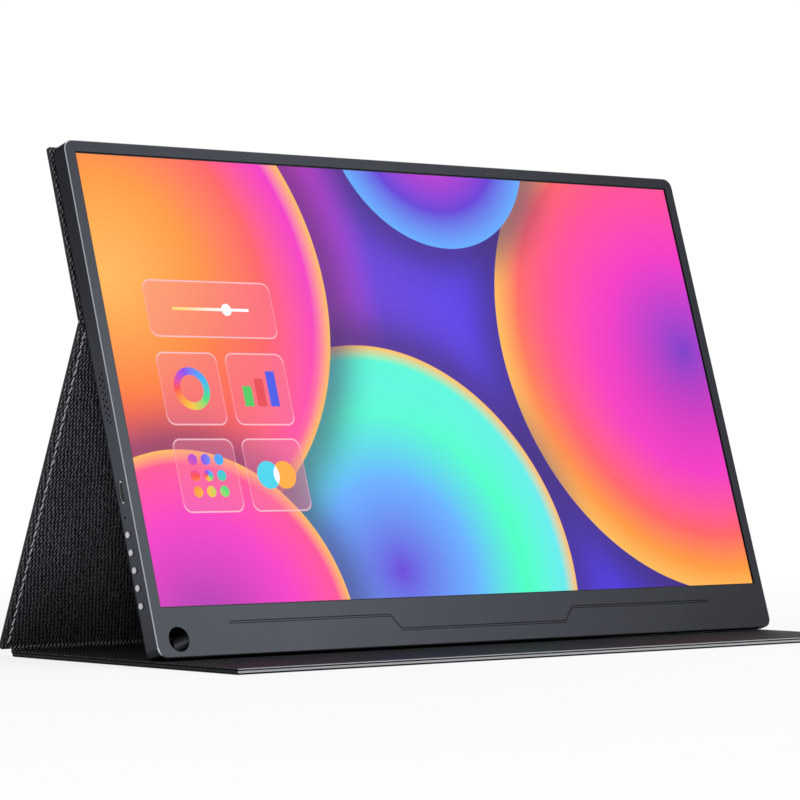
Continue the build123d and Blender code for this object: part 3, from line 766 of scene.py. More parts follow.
class GlyphMaker:
    """Draws a tile's plain shape from the place on the tile, as a mask and a colour."""

    def __init__(self, g: Graph, u: Signal, v: Signal, size: float) -> None:
        """Keep where the shape is drawn.

        Args:
            g: Graph to add to.
            u: Across from the tile's middle.
            v: Up from the tile's middle.
            size: The shape's own size.
        """
        self.g = g
        self.u = u
        self.v = v
        self.size = size
        self.pitch = 0.72 * size

    def draw(self, glyph: Glyph) -> tuple[Signal, Socket]:
        """Draw one of the shapes.

        Args:
            glyph: Which shape.

        Returns:
            Its mask and its colour.
        """
        makers = {
            Glyph.RING: self.ring,
            Glyph.BARS: self.bars,
            Glyph.DOTS: self.dots,
            Glyph.PAIR: self.pair,
            Glyph.SLIDER: self.slider,
        }
        return makers[glyph]()

    def wheel(self) -> Socket:
        """Colour by the direction from the tile's middle."""
        return self.g.ramp(self.g.math("ARCTAN2", self.v, self.u) / TURN + 0.5, WHEEL)

    def ring(self) -> tuple[Signal, Socket]:
        """Draw a ring with all the wheel's colours."""
        off = abs(self.u.hypot(self.v) - 0.8 * self.size)
        return within(off, 0.16 * self.size), self.wheel()

    def pair(self) -> tuple[Signal, Socket]:
        """Draw two discs side by side that overlap in a pale middle.

        Returns:
            The mask and the colour.
        """
        left = (self.u + 0.45 * self.size).hypot(self.v)
        right = (self.u - 0.45 * self.size).hypot(self.v)
        radius = 0.62 * self.size
        mask = within(left, radius).at_least(within(right, radius))
        sides = self.g.mix((self.u / self.size).rise(-0.05, 0.05), srgb(60, 210, 235), srgb(255, 170, 50))
        both = 1.0 - left.at_least(right).rise(0.6 * self.size, radius)
        return mask, self.g.mix(both, sides, srgb(250, 245, 250))

    def slider(self) -> tuple[Signal, Socket]:
        """Draw a bar with a knob on it.

        Returns:
            The mask and the colour.
        """
        bar = abs(self.v).at_least((abs(self.u) - 2.6 * self.size).at_least(0.0))
        at = 1.1 * self.size
        knob = (self.u - at).hypot(self.v)
        mask = within(bar, 0.07 * self.size).at_least(within(knob, 0.34 * self.size))
        full = self.u.rise(-2.4 * self.size, at)
        return mask, self.g.mix(full, srgb(255, 214, 120), srgb(250, 248, 252))

    def bars(self) -> tuple[Signal, Socket]:
        """Draw three bars that grow to the right.

        Returns:
            The mask and the colour.
        """
        column = nearest(self.u, self.pitch)
        number = column + 1.0
        top = self.size * (0.15 + 0.35 * number)
        tall = (self.v + 0.8 * self.size).at_most(top - self.v)
        mask = within(abs(self.u - column * self.pitch), 0.24 * self.size) * tall.rise(0.0, SOFT_EDGE)
        stops = ((0.0, srgb(70, 200, 90)), (0.5, srgb(230, 60, 70)), (1.0, srgb(60, 80, 230)))
        return mask, self.g.ramp(number * 0.5, stops)

    def dots(self) -> tuple[Signal, Socket]:
        """Draw three rows of three dots.

        Returns:
            The mask and the colour.
        """
        off_u = self.u - nearest(self.u, self.pitch) * self.pitch
        off_v = self.v - nearest(self.v, self.pitch) * self.pitch
        return within(off_u.hypot(off_v), 0.24 * self.size), self.wheel()


class Picture:
    """The picture while it is laid down, in screen heights from the lower left corner."""

    def __init__(self, g: Graph, x: Signal, y: Signal) -> None:
        """Colour the ground behind the discs.

        Args:
            g: Graph to add to.
            x: Across the screen.
            y: Up the screen.
        """
        self.g = g
        self.x = x
        self.y = y
        across = (x - 0.5) / 1.1
        low = g.ramp(across, ((0.0, PLUM), (0.3, VIOLET), (0.65, BLUE), (1.0, INDIGO)))
        high = g.ramp(across, ((0.0, MAGENTA), (0.25, VIOLET), (0.6, BLUE), (1.0, AZURE)))
        self.colour = g.mix(y.rise(0.0, 1.0), low, high)

    def lay_disc(self, disc: Disc) -> None:
        """Lay one disc over the picture, with a soft shade round it.

        Args:
            disc: The disc.
        """
        g = self.g
        away = (self.x - disc.x).hypot(self.y - disc.y) - disc.radius
        depth = away * (-1.0 / disc.radius)
        own = g.mix(self.y.rise(0.1, 0.9), g.ramp(depth, disc.low), g.ramp(depth, disc.high))
        near = 1.0 - away.rise(0.0, disc.shade)
        shaded = g.mix(near * near * disc.shade_share, self.colour, DISC_SHADE)
        self.colour = g.mix((-away).rise(-SOFT_EDGE, SOFT_EDGE), shaded, own)

    def lay_tile(self, tile: Tile) -> None:
        """Lay a see-through tile with its shape over the picture.

        Args:
            tile: The tile.
        """
        g = self.g
        away = tile.away(self.x, self.y)
        body = (-away).rise(-tile.tint_edge, tile.tint_edge)
        colour = g.mix(body * tile.tint_share, self.colour, TILE_TINT)
        rim = 1.0 - abs(away + tile.rim_inset).rise(tile.rim_core, tile.rim_fade)
        level = (abs(self.y - tile.y) / tile.half_h).rise(0.6, 1.0)
        colour = g.mix(rim * (0.18 + 0.5 * level), colour, TILE_RIM)
        size = tile.glyph_share * min(tile.half_w, tile.half_h)
        mark, tint = GlyphMaker(g, self.x - tile.x, self.y - tile.y, size).draw(tile.glyph)
        self.colour = g.mix(mark, colour, tint)


@dataclass(frozen=True)
class PictureFinish:
    """Lit screen: soft discs of colour with a few plain tiles, inside a black border.

    Origin, width and height are the lit area's, in metres, and matte is the fine haze of the
    glass in features per metre.
    """

    name: str
    origin: Vector
    up: Vector
    front: Vector
    width: float
    height: float
    discs: tuple[Disc, ...]
    tiles: tuple[Tile, ...]
    rough: float = 0.34
    matte: float = 5000.0
    matte_rough: float = 0.1
    gloss: float = 0.12

    def build(self) -> bpy.types.Material:
        """Build the material.

        Returns:
            The material.
        """
        g = Graph(self.name)
        at = g.place()
        x = (g.dot(at, ACROSS) + 0.5 * self.width) / self.height
        y = (g.dot(at, self.up) - self.origin.dot(self.up)) / self.height
        picture = Picture(g, x, y)
        for disc in self.discs:
            picture.lay_disc(disc)
        for tile in self.tiles:
            picture.lay_tile(tile)
        middle = 0.5 * self.width / self.height
        inside = (middle - abs(x - middle)).at_most(0.5 - abs(y - 0.5))
        lit = inside.rise(0.0, SOFT_EDGE) * g.facing(self.front).rise(0.5, 0.6)
        return g.surface(
            Base_Color=g.mix(lit, BORDER, UNLIT),
            Roughness=self.rough + self.matte_rough * g.noise(at, self.matte),
            Specular_IOR_Level=self.gloss,
            Emission_Color=g.mix(lit, (0.0, 0.0, 0.0), picture.colour),
            Emission_Strength=1.0,
        )


PICTURE_DISCS = (
    Disc(
        1.72, 0.58, 0.60,
        ((0.0, AMBER), (0.10, ORANGE), (0.24, CORAL), (0.5, MAGENTA), (1.0, PLUM)),
        ((0.0, AMBER), (0.12, CORAL), (0.3, PINK), (0.6, MAGENTA), (1.0, VIOLET)),
    ),
    Disc(
        1.02, 1.12, 0.30,
        ((0.0, AZURE), (0.3, VIOLET), (1.0, PLUM)),
        ((0.0, AZURE), (0.3, VIOLET), (1.0, MAGENTA)),
    ),
    Disc(
        0.68, 0.06, 0.52,
        ((0.0, AMBER), (0.07, CYAN), (0.3, GREEN), (0.6, AZURE), (1.0, VIOLET)),
        ((0.0, AMBER), (0.06, GREEN), (0.3, CYAN), (0.6, AZURE), (1.0, VIOLET)),
    ),
    Disc(
        0.02, 0.72, 0.60,
        ((0.0, AMBER), (0.05, PINK), (0.2, CORAL), (0.5, RED), (1.0, ORANGE)),
        ((0.0, AMBER), (0.08, MAGENTA), (0.3, CORAL), (0.6, ORANGE), (1.0, AMBER)),
    ),
    Disc(
        0.12, -0.06, 0.40,
        ((0.0, AMBER), (0.08, PINK), (0.4, MAGENTA), (1.0, PLUM)),
        ((0.0, AMBER), (0.08, CORAL), (0.4, PINK), (1.0, MAGENTA)),
    ),
)

PICTURE_TILES = (
    Tile(0.285, 0.655, 0.175, 0.065, Glyph.SLIDER),
    Tile(0.192, 0.475, 0.082, 0.082, Glyph.RING),
    Tile(0.378, 0.475, 0.082, 0.082, Glyph.BARS),
    Tile(0.192, 0.282, 0.082, 0.082, Glyph.DOTS),
    Tile(0.378, 0.282, 0.082, 0.082, Glyph.PAIR),
)


# Places


@dataclass(frozen=True)
class Local:
    """A piece's own frame: x to the right, y up the piece, z out of its inner face."""

    origin: Vector
    up: Vector

    @property
    def inner(self) -> Vector:
        """Direction that the inner face looks in."""
        return ACROSS.cross(self.up)

    def point(self, x: float, y: float, z: float = 0.0) -> Vector:
        """Point of the part's own frame in metres, from millimetres of this frame."""
        return self.origin + (ACROSS * x + self.up * y + self.inner * z) * MM


def joint_place(name: str) -> Vector:
    """Place of a joint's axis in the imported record.

    Args:
        name: The joint's name.

    Returns:
        A point on the axis, in metres.
    """
    for joint in frame["record"]["behaviour"]["joints"]:
        if joint["name"] == name:
            return Vector(joint["pos_m"])
    raise KeyError(name)


@dataclass(frozen=True)
class Stand:
    """The stand's side view: both fold axes and the frames of the monitor and the panels."""

    lean: float = 17.3
    fold_height: float = 144.6
    monitor_t: float = 10.4
    base_t: float = 2.55
    cover_t: float = 2.2

    @property
    def lower(self) -> Vector:
        """Point on the lower fold's axis."""
        return joint_place("base_fold")

    @property
    def upper(self) -> Vector:
        """Point on the upper fold's axis."""
        return joint_place("stand_fold")

    @property
    def monitor(self) -> Local:
        """Frame of the monitor's front face, from the middle of its bottom edge.

        Returns:
            The frame.
        """
        angle = math.radians(self.lean)
        up = Vector((0.0, math.sin(angle), math.cos(angle)))
        back = -ACROSS.cross(up)
        away = self.monitor_t + 0.5 * self.cover_t
        return Local(self.upper - (up * self.fold_height + back * away) * MM, up)

    @property
    def upper_panel(self) -> Local:
        """Frame of the upper panel, with its origin on the upper fold."""
        return Local(self.upper, self.monitor.up)

    @property
    def leg(self) -> Local:
        """Frame of the leg, with its origin on the lower fold."""
        return Local(self.lower, (self.upper - self.lower).normalized())

    @property
    def base(self) -> Local:
        """Frame of the base panel, with its origin on the lower fold."""
        return Local(self.lower, BACK)


# Meshes


class MeshMaker:
    """Gathers points and faces in a local frame, then makes one object of them."""

    def __init__(self, local: Local) -> None:
        """Start an empty mesh in a local frame.

        Args:
            local: The frame.
        """
        self.local = local
        self.points: list[Vector] = []
        self.places: list[Point3] = []
        self.wear_and_highlight: list[float] = []
        self.faces: list[Sequence[int]] = []

    def add(
        self, x: float, y: float, z: float, grain: Optional[Point3] = None, wear_and_highlight: float = 0.0
    ) -> int:
        """Add a point of the local frame.

        Args:
            x: Across, in millimetres.
            y: Up the piece.
            z: Out of its inner face.
            grain: Where the grain is looked up, and how far round an edge the point is.
            wear_and_highlight: How rubbed the edge is there, with its painted highlight, 0 to 1.

        Returns:
            The point's number.
        """
        return self.put(self.local.point(x, y, z), grain or (x, y, 0.0), wear_and_highlight)

    def put(self, point: Vector, grain: Point3, wear_and_highlight: float = 0.0) -> int:
        """Add a point of the part's own frame.

        Args:
            point: The point, in metres.
            grain: Where the grain is looked up, and how far round an edge the point is.
            wear_and_highlight: How rubbed the edge is there, with its painted highlight, 0 to 1.

        Returns:
            The point's number.
        """
        self.points.append(point)
        self.places.append(grain)
        self.wear_and_highlight.append(wear_and_highlight)
        return len(self.points) - 1

    def close(self, rows: Sequence[Sequence[int]]) -> None:
        """Join rings of points with quads and cap both ends.

        Args:
            rows: The numbers of each ring's points, all rings the same way round.
        """
        for first, second in zip(rows, rows[1:]):
            for i in range(len(first)):
                j = (i + 1) % len(first)
                self.faces.append((first[i], first[j], second[j], second[i]))
        self.faces.append(tuple(reversed(rows[0])))
        self.faces.append(tuple(rows[-1]))

    def build(self, name: str, material: bpy.types.Material) -> bpy.types.Object:
        """Make the object.

        Args:
            name: Name of the object.
            material: Its material.

        Returns:
            The object, linked to the scene.
        """
        mesh = bpy.data.meshes.new(name)
        mesh.from_pydata([tuple(p) for p in self.points], [], self.faces)
        mesh.validate()
        place = mesh.attributes.new(PLACE, "FLOAT_VECTOR", "POINT")
        place.data.foreach_set("vector", [v for p in self.places for v in p])
        wear_and_highlight = mesh.attributes.new(WEAR_AND_HIGHLIGHT, "FLOAT", "POINT")
        wear_and_highlight.data.foreach_set("value", self.wear_and_highlight)
        mesh.materials.append(material)
        mesh.shade_smooth()
        obj = bpy.data.objects.new(name, mesh)
        bpy.context.scene.collection.objects.link(obj)
        LOG.info("%s: %d points, %d faces", name, len(mesh.vertices), len(mesh.polygons))
        return obj


ARC_POINTS = 7
ARC_STEP = 15.0
SMALLEST_RADIUS = 0.05


def outline(
    size: Point2, corners: Point2, inset: float, low: float, step: float = 6.0
) -> list[Point2]:
    """Points round a rectangle with rounded corners, the same number at every inset.

    Args:
        size: Width and height without the inset.
        corners: Corner radius at the low end and at the high end.
        inset: How far in from the edge.
        low: Height of the low end.
        step: Greatest distance between points on the straight runs.

    Returns:
        The points, once round.
    """
    width, height = size
    arcs = []
    for number, (side, end) in enumerate(((1, 0), (1, 1), (-1, 1), (-1, 0))):
        radius = max(corners[end] - inset, SMALLEST_RADIUS)
        x = side * (0.5 * width - inset - radius)
        y = low + (inset + radius if end == 0 else height - inset - radius)
        turns = [math.radians(90.0 * (number - 1) + ARC_STEP * k) for k in range(ARC_POINTS)]
        arcs.append([(x + radius * math.cos(a), y + radius * math.sin(a)) for a in turns])
    lengths = (height, width, height, width)
    points: list[Point2] = []
    for number, arc in enumerate(arcs):
        points += arc
        (x, y), (next_x, next_y) = arc[-1], arcs[(number + 1) % 4][0]
        count = math.ceil(lengths[number] / step)
        for k in range(1, count):
            share = k / count
            points.append((x + (next_x - x) * share, y + (next_y - y) * share))
    return points


@dataclass(frozen=True)
class Seam:
    """A row of stitches, by its two ends and the size and slope of one stitch.

    A stitch's slope varies by up to the wobble, both in degrees, and its thread is flattened.
    """

    start: Point2
    end: Point2
    pitch: float = 4.0
    length: float = 3.7
    slope: float = -13.0
    wobble: float = 5.0
    girth: float = 0.31
    flatness: float = 0.7
    sides: int = 8


@dataclass(frozen=True)
class Ring:
    """A ring of points round a panel: its inset, height and depth of groove in millimetres, and its share of
    rubbing and painted highlight.
    """

    inset: float
    level: float
    dip: float = 0.0
    wear_and_highlight: float = 0.0


@dataclass(frozen=True)
class Panel:
    """A stiff panel: board between two leather skins, with a seam round its edge and stitching."""

    name: str
    local: Local
    body: str
    replaced: tuple[str, ...]
    low: float
    high: float
    thickness: float
    corners: Point2
    sewn_sides: bool = True
    sewn_low: bool = False
    low_wear_and_highlight: float = 0.12
    side_wear_and_highlight: float = 0.12
    width: float = COVER_WIDTH
    stitch_inset: float = 3.2
    stitch_sink: float = 0.10
    end_inset: float = 2.6
    low_inset: float = 0.9
    low_corner: float = 4.0
    ripple: float = 0.02
    ripple_scale: float = 0.05

    def _edge(self) -> list[Ring]:
        """List the edge's rings from the inner face round to the outer one.

        Returns:
            The rings of the face with its stitch groove, the lip, the gap under it, the belly
            and the outer face.
        """
        half = 0.5 * self.thickness
        groove = self.stitch_inset
        face = [
            Ring(groove + 1.9, half - 0.01),
            Ring(groove + 1.1, half - 0.02, 0.01),
            Ring(groove + 0.5, half - 0.02, 0.07),
            Ring(groove, half - 0.02, 0.14),
            Ring(groove - 0.5, half - 0.02, 0.07),
            Ring(groove - 1.0, half - 0.02),
            Ring(0.42, half - 0.02),
        ]
        # The lip and the belly carry rubbing and a painted highlight.
        lip = [
            Ring(0.20, half - 0.06, wear_and_highlight=0.5),
            Ring(0.07, half - 0.18, wear_and_highlight=1.0),
            Ring(0.05, half - 0.40, wear_and_highlight=1.0),
            Ring(0.14, half - 0.52, wear_and_highlight=0.3),
        ]
        gap = [Ring(0.60, half - 0.57), Ring(0.60, half - 0.93)]
        belly = [
            Ring(0.12, half - 0.98, wear_and_highlight=0.3),
            Ring(0.02, half - 1.06, wear_and_highlight=1.0),
            Ring(0.0, half - 1.30, wear_and_highlight=1.0),
            Ring(0.0, 0.80 - half, wear_and_highlight=1.0),
            Ring(0.02, 0.66 - half),
            Ring(0.12, 0.18 - half),
            Ring(0.28, 0.05 - half),
        ]
        under = [Ring(ring.inset, -ring.level, -ring.dip) for ring in reversed(face)]
        return face + lip + gap + belly + under

    def skin(self, material: bpy.types.Material) -> bpy.types.Object:
        """Make the leather round the panel.

        Args:
            material: The leather.

        Returns:
            The object.
        """
        half = 0.5 * self.thickness
        maker = MeshMaker(self.local)
        size = (self.width, self.high - self.low)
        tiny = 0.04
        rim = outline(size, self.corners, 0.0, self.low)
        inner_rim = outline(size, self.corners, tiny, self.low)
        outward = [((a[0] - b[0]) / tiny, (a[1] - b[1]) / tiny) for a, b in zip(rim, inner_rim)]
        rows = []
        for ring in self._edge():
            row = []
            points = outline(size, self.corners, ring.inset, self.low)
            for (x, y), (out_x, out_y) in zip(points, outward):
                sewn = max(abs(out_x) * self.sewn_sides, -out_y * self.sewn_low, 0.0)
                at = Vector((x, y, 3.0 * self.thickness)) * self.ripple_scale
                ripple = self.ripple * noise.noise(at)
                z = ring.level - ring.dip * sewn - ripple * math.copysign(1.0, ring.level)
                over = half - abs(ring.level)
                # Share of rubbing and painted highlight, set apart for the low end and the sides.
                wear_and_highlight = ring.wear_and_highlight * (self.low_wear_and_highlight if out_y < -0.5 else self.side_wear_and_highlight)
                grain = (x + out_x * over, y + out_y * over, over)
                row.append(maker.add(x, y, z, grain, wear_and_highlight))
            rows.append(row)
        maker.close(rows)
        piece = maker.build(f"{self.name}_leather", material)
        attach(piece, self.body)
        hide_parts(*self.replaced)
        return piece

    def side_seams(self) -> tuple[Seam, ...]:
        """List the seams up both sides, where the panel has them.

        Returns:
            The seams.
        """
        if not self.sewn_sides:
            return ()
        across = 0.5 * self.width - self.stitch_inset
        low = self.low + self.end_inset
        high = self.high - self.end_inset
        return tuple(Seam((side * across, low), (side * across, high)) for side in (-1, 1))

    def low_seams(self) -> tuple[Seam, ...]:
        """List the short steep stitches along the low end, where the panel has them.

        Returns:
            The one seam there, or none.
        """
        if not self.sewn_low:
            return ()
        across = 0.5 * self.width - self.low_corner
        y = self.low + self.low_inset
        return (Seam((-across, y), (across, y), pitch=2.05, length=1.5, slope=68.0, girth=0.2),)

    def stitching(
        self, name: str, seams: Sequence[Seam], material: bpy.types.Material
    ) -> bpy.types.Object:
        """Sew seams on both faces.

        Args:
            name: What the object's name ends with.
            seams: The seams.
            material: The thread.

        Returns:
            The object.
        """
        maker = MeshMaker(self.local)
        for seam in seams:
            for face in (1, -1):
                self._row(maker, seam, face)
        piece = maker.build(f"{self.name}_{name}", material)
        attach(piece, self.body)
        return piece

    def _row(self, maker: MeshMaker, seam: Seam, face: int) -> None:
        """Sew one seam.

        Args:
            maker: Mesh to add to.
            seam: The seam.
            face: 1 on the inner face, -1 on the outer face.
        """
        start, end = Vector(seam.start), Vector(seam.end)
        count = int((end - start).length / seam.pitch)
        heading = math.atan2(end.y - start.y, end.x - start.x)
        level = 0.5 * self.thickness - self.stitch_sink
        for k in range(count):
            middle = start.lerp(end, (k + 0.5) / count)
            wobble = noise.noise(Vector((middle.x, middle.y, face * 7.0)))
            turn = heading + math.radians(seam.slope + seam.wobble * wobble)
            self._stitch(maker, seam, middle, turn, face, level)

    @staticmethod
    def _stitch(
        maker: MeshMaker, seam: Seam, middle: Vector, heading: float, face: int, level: float
    ) -> None:
        """Make one stitch, a flattened loop of thread that dips in at both ends.

        Args:
            maker: Mesh to add to.
            seam: The seam that it belongs to.
            middle: Middle of the stitch on the panel.
            heading: Direction of the stitch.
            face: 1 on the inner face, -1 on the outer face.
            level: Height of the leather there.
        """
        along = Vector((math.cos(heading), math.sin(heading)))
        side = Vector((-along.y, along.x))
        # Shares of the length, heights over the leather in millimetres and shares of the girth.
        profile = (
            (-0.50, -0.24, 0.55),
            (-0.44, -0.04, 0.85),
            (-0.24, 0.08, 1.0),
            (0.0, 0.11, 1.0),
            (0.24, 0.08, 1.0),
            (0.44, -0.04, 0.85),
            (0.50, -0.24, 0.55),
        )
        rows = []
        for share, rise, girth in profile:
            centre = middle + along * (share * seam.length)
            row = []
            for k in range(seam.sides):
                angle = TURN * k / seam.sides
                spot = centre + side * (seam.girth * girth * math.cos(angle))
                z = level + rise + seam.flatness * seam.girth * girth * math.sin(angle)
                row.append(maker.add(spot.x, spot.y, face * z))
            rows.append(row if face > 0 else row[::-1])
        maker.close(rows[::-1])


def smooth_path(points: Sequence[Vector], per: int = 6) -> list[Vector]:
    """Run a smooth curve through points.

    Args:
        points: Points that the curve passes.
        per: Steps between two of them.

    Returns:
        Points along the curve.
    """
    padded = [points[0] * 2 - points[1], *points, points[-1] * 2 - points[-2]]
    path = []
    for a, b, c, d in zip(padded, padded[1:], padded[2:], padded[3:]):
        for k in range(per):
            t = k / per
            point = 2 * b + (c - a) * t
            point += (2 * a - 5 * b + 4 * c - d) * t * t
            point += (3 * b - 3 * c + d - a) * t * t * t
            path.append(0.5 * point)
    return path + [points[-1]]


@dataclass(frozen=True)
class FoldStrip:
    """Leather without a board that bends where two panels meet."""

    name: str
    bodies: tuple[str, str]
    replaced: str
    route: tuple[Vector, ...]
    bend_start: Vector
    bend_end: Vector
    half_width: float
    thickness: float = 1.0
    columns: int = 72
    edge_fade: float = 0.6
    edge_share: float = 0.55
    crease: float = 0.05
    crease_scale: Point2 = (0.05, 0.6)

    def build(self, material: bpy.types.Material) -> bpy.types.Object:
        """Make the strip along its route, which bends from one panel to the next.

        Args:
            material: The leather.

        Returns:
            The strip.
        """
        path = smooth_path(self.route)
        maker = MeshMaker(Local(Vector((0.0, 0.0, 0.0)), Vector((0.0, 0.0, 1.0))))
        run = [0.0]
        for a, b in zip(path, path[1:]):
            run.append(run[-1] + (b - a).length / MM)
        rows = []
        for i in range(self.columns + 1):
            x = self.half_width * (2.0 * i / self.columns - 1.0)
            inward = max(0.0, min(1.0, (self.half_width - abs(x)) / self.edge_fade))
            full = self.edge_share + (1.0 - self.edge_share) * math.sqrt(inward)
            outer, inner = [], []
            for k, point in enumerate(path):
                ahead = path[min(k + 1, len(path) - 1)] - path[max(k - 1, 0)]
                normal = ahead.normalized().cross(ACROSS)
                at = Vector((x * self.crease_scale[0], run[k] * self.crease_scale[1], 2.0))
                crease = self.crease * noise.noise(at)
                half = (0.5 * self.thickness * full + crease) * MM
                for row, sign in ((outer, 1.0), (inner, -1.0)):
                    spot = point + normal * (sign * half)
                    row.append(maker.put(Vector((x * MM, spot.y, spot.z)), (x, run[k], 0.0)))
            rows.append(outer + inner[::-1])
        maker.close(rows)
        piece = maker.build(self.name, material)
        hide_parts(self.replaced)
        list(self.bodies)
        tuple(self.bend_start)
        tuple(self.bend_end)
        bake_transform(piece)
        return piece


# Sub-assemblies


@dataclass(frozen=True)
class Cover:
    """The folding cover: three panels and the two folds between them."""

    stand: Stand
    fold_inset: float = 7.0
    leg_low: float = 1.9
    fold_gap: float = 0.95
    base_back: float = 7.6
    base_depth: float = 162.0
    upper_top: float = 220.69

    def panels(self) -> tuple[Panel, ...]:
        """List the three panels.

        Returns:
            The base, the leg and the upper panel.
        """
        stand = self.stand
        leg_length = (stand.upper - stand.lower).length / MM
        reach = 0.5 * self.base_depth + stand.lower.y / MM
        return (
            # The base's front edge gets a strong painted highlight through its low end share.
            Panel(
                "base", stand.base, "base", ("base_outer_skin", "base_inner_skin"),
                -reach, -self.base_back, stand.base_t, (1.2, 4.0),
                sewn_sides=False, low_wear_and_highlight=0.9, side_wear_and_highlight=0.06,
            ),
            Panel(
                "leg", stand.leg, "leg", ("leg_outer_skin", "leg_inner_skin"),
                self.leg_low, leg_length - self.fold_gap, stand.cover_t, (0.8, 0.5), sewn_low=True,
            ),
            Panel(
                "upper", stand.upper_panel, "monitor", ("upper_outer_skin", "upper_inner_skin"),
                self.fold_gap, self.upper_top - stand.fold_height, stand.cover_t, (0.5, 1.0),
            ),
        )

    def folds(self) -> tuple[FoldStrip, ...]:
        """List the two folds, whose routes follow the leather from one panel to the next.

        Returns:
            The lower fold and the upper one.
        """
        stand = self.stand
        base, leg, upper = stand.base, stand.leg, stand.upper_panel
        top = Local(stand.upper, leg.up)
        half = 0.5 * COVER_WIDTH
        return (
            FoldStrip(
                "lower_fold_leather", ("base", "leg"), "lower_fold",
                (
                    base.point(0, -9.4, -0.5),
                    base.point(0, -7.6, -0.5),
                    base.point(0, -4.5, -0.6),
                    base.point(0, -1.3, -0.55),
                    base.point(0, -0.1, -0.28),
                    leg.point(0, 0.5, -0.45),
                    leg.point(0, 1.9, -0.45),
                    leg.point(0, 3.4, -0.45),
                ),
                base.point(0, -2.0, -0.5),
                leg.point(0, 1.9, -0.45),
                half - self.fold_inset,
            ),
            FoldStrip(
                "upper_fold_leather", ("leg", "monitor"), "upper_fold",
                (
                    top.point(0, -3.6, -0.58),
                    top.point(0, -1.0, -0.6),
                    top.point(0, -0.4, -0.6),
                    upper.point(0, 0.4, -0.6),
                    upper.point(0, 1.0, -0.6),
                    upper.point(0, 3.6, -0.58),
                ),
                top.point(0, -1.0, -0.6),
                upper.point(0, 1.0, -0.6),
                half - 0.1,
            ),
        )

    def build(self) -> None:
        """Make the cover's pieces."""
        leather = LeatherFinish("pressed_leather").build()
        # The leg's leather carries painted shade near its lower fold.
        shaded = LeatherFinish("leg_leather", fold_painted_shade=0.6).build()
        smooth = LeatherFinish(
            "base_leather", ground=srgb(26, 27, 29), top=srgb(66, 67, 70), edge=srgb(12, 12, 13),
            depth=0.00012, rough=0.72, gloss=0.06,
        ).build()
        pale = ThreadFinish("grey_thread", srgb(238, 239, 242)).build()
        dark = ThreadFinish("dark_thread", srgb(200, 201, 205)).build()
        for panel in self.panels():
            panel.skin({"base": smooth, "leg": shaded}.get(panel.body, leather))
            for name, seams, thread in (
                ("side_stitching", panel.side_seams(), pale),
                ("low_stitching", panel.low_seams(), dark),
            ):
                if seams:
                    panel.stitching(name, seams, thread)
        for fold in self.folds():
            fold.build(leather)


@dataclass(frozen=True)
class Monitor:
    """The monitor's own nodes, which keep their shapes and get their finishes."""

    stand: Stand
    screen_w: float = 344.16
    screen_h: float = 193.59
    bezel_bottom: float = 21.0

    def finishes(self) -> dict[str, bpy.types.Material]:
        """Build a material for every slot of the record that a shown node has.

        Returns:
            The materials by slot.
        """
        front = self.stand.monitor.inner
        picture = PictureFinish(
            "lit_screen",
            self.stand.monitor.point(0, self.bezel_bottom),
            self.stand.monitor.up,
            front,
            self.screen_w * MM,
            self.screen_h * MM,
            PICTURE_DISCS,
            PICTURE_TILES,
        )
        shell = srgb(43, 45, 49)
        finishes = {
            "shell_metal": MetalFinish("shell_metal", shell, 0.36),
            "frame_metal": MetalFinish(
                "frame_metal", shell, 0.36, edge_colour=srgb(158, 161, 168), edge_rough=0.3, front=front,
                groove=LineGroove(self.stand.monitor.origin, self.stand.monitor.up),
            ),
            "screen_glass": picture,
            "leather_black": PlainFinish("hidden_leather", srgb(20, 20, 21)),
            "cover_board": PlainFinish("grey_board", srgb(96, 94, 90), 0.8, 900.0),
            "magnet_steel": MetalFinish("magnet_plating", srgb(180, 180, 184), 0.3),
            "sheet_steel": MetalFinish("sheet_steel", srgb(190, 191, 194), 0.32),
            "socket_steel": MetalFinish("socket_steel", srgb(214, 215, 218), 0.42),
            "button_metal": MetalFinish(
                "button_metal", srgb(147, 149, 153), 0.44, grain_depth=0.000004
            ),
            "black_plastic": PlainFinish("black_plastic", srgb(26, 26, 27), 0.42),
            "clear_plastic": PlainFinish("light_pipe", srgb(4, 4, 5), 0.2, gloss=0.0),
            "white_film": PlainFinish("white_film", srgb(236, 236, 232), 0.6),
            "board_green": PlainFinish("solder_mask", srgb(24, 84, 52), 0.4, stripes=5200.0),
            "ribbon_film": PlainFinish("ribbon_film", srgb(186, 118, 40), 0.35, stripes=9000.0),
            "tape_black": PlainFinish("black_tape", srgb(24, 24, 24), 0.7),
            "cloth_black": ClothFinish("grille_cloth", srgb(24, 24, 25)),
            "insert_brass": MetalFinish("insert_brass", srgb(206, 172, 104), 0.28),
            "screw_steel": MetalFinish("screw_steel", srgb(120, 120, 124), 0.35),
        }
        return {slot: finish.build() for slot, finish in finishes.items()}

    def build(self) -> None:
        """Give each carried-over node its material."""
        materials = self.finishes()
        for row in frame["record"]["subparts"]:
            node = frame["nodes"][row["node"]]
            for slot in node.material_slots:
                slot.material = materials[row["material_slot"]]


@dataclass(frozen=True)
class Lamp:
    """A soft square lamp that faces the object, with its place and size in metres and its watts."""

    name: str
    at: Point3
    size: float
    power: float
    aim: Point3 = (0.0, 0.0, 0.1)

    def hang(self) -> None:
        """Hang the lamp, out of the camera's sight."""
        data = bpy.data.lights.new(self.name, "AREA")
        data.shape = "SQUARE"
        data.size = self.size
        data.energy = self.power
        obj = bpy.data.objects.new(self.name, data)
        obj.location = self.at
        obj.rotation_euler = (Vector(self.aim) - Vector(self.at)).to_track_quat("-Z", "Y").to_euler()
        obj.visible_camera = False
        bpy.context.scene.collection.objects.link(obj)


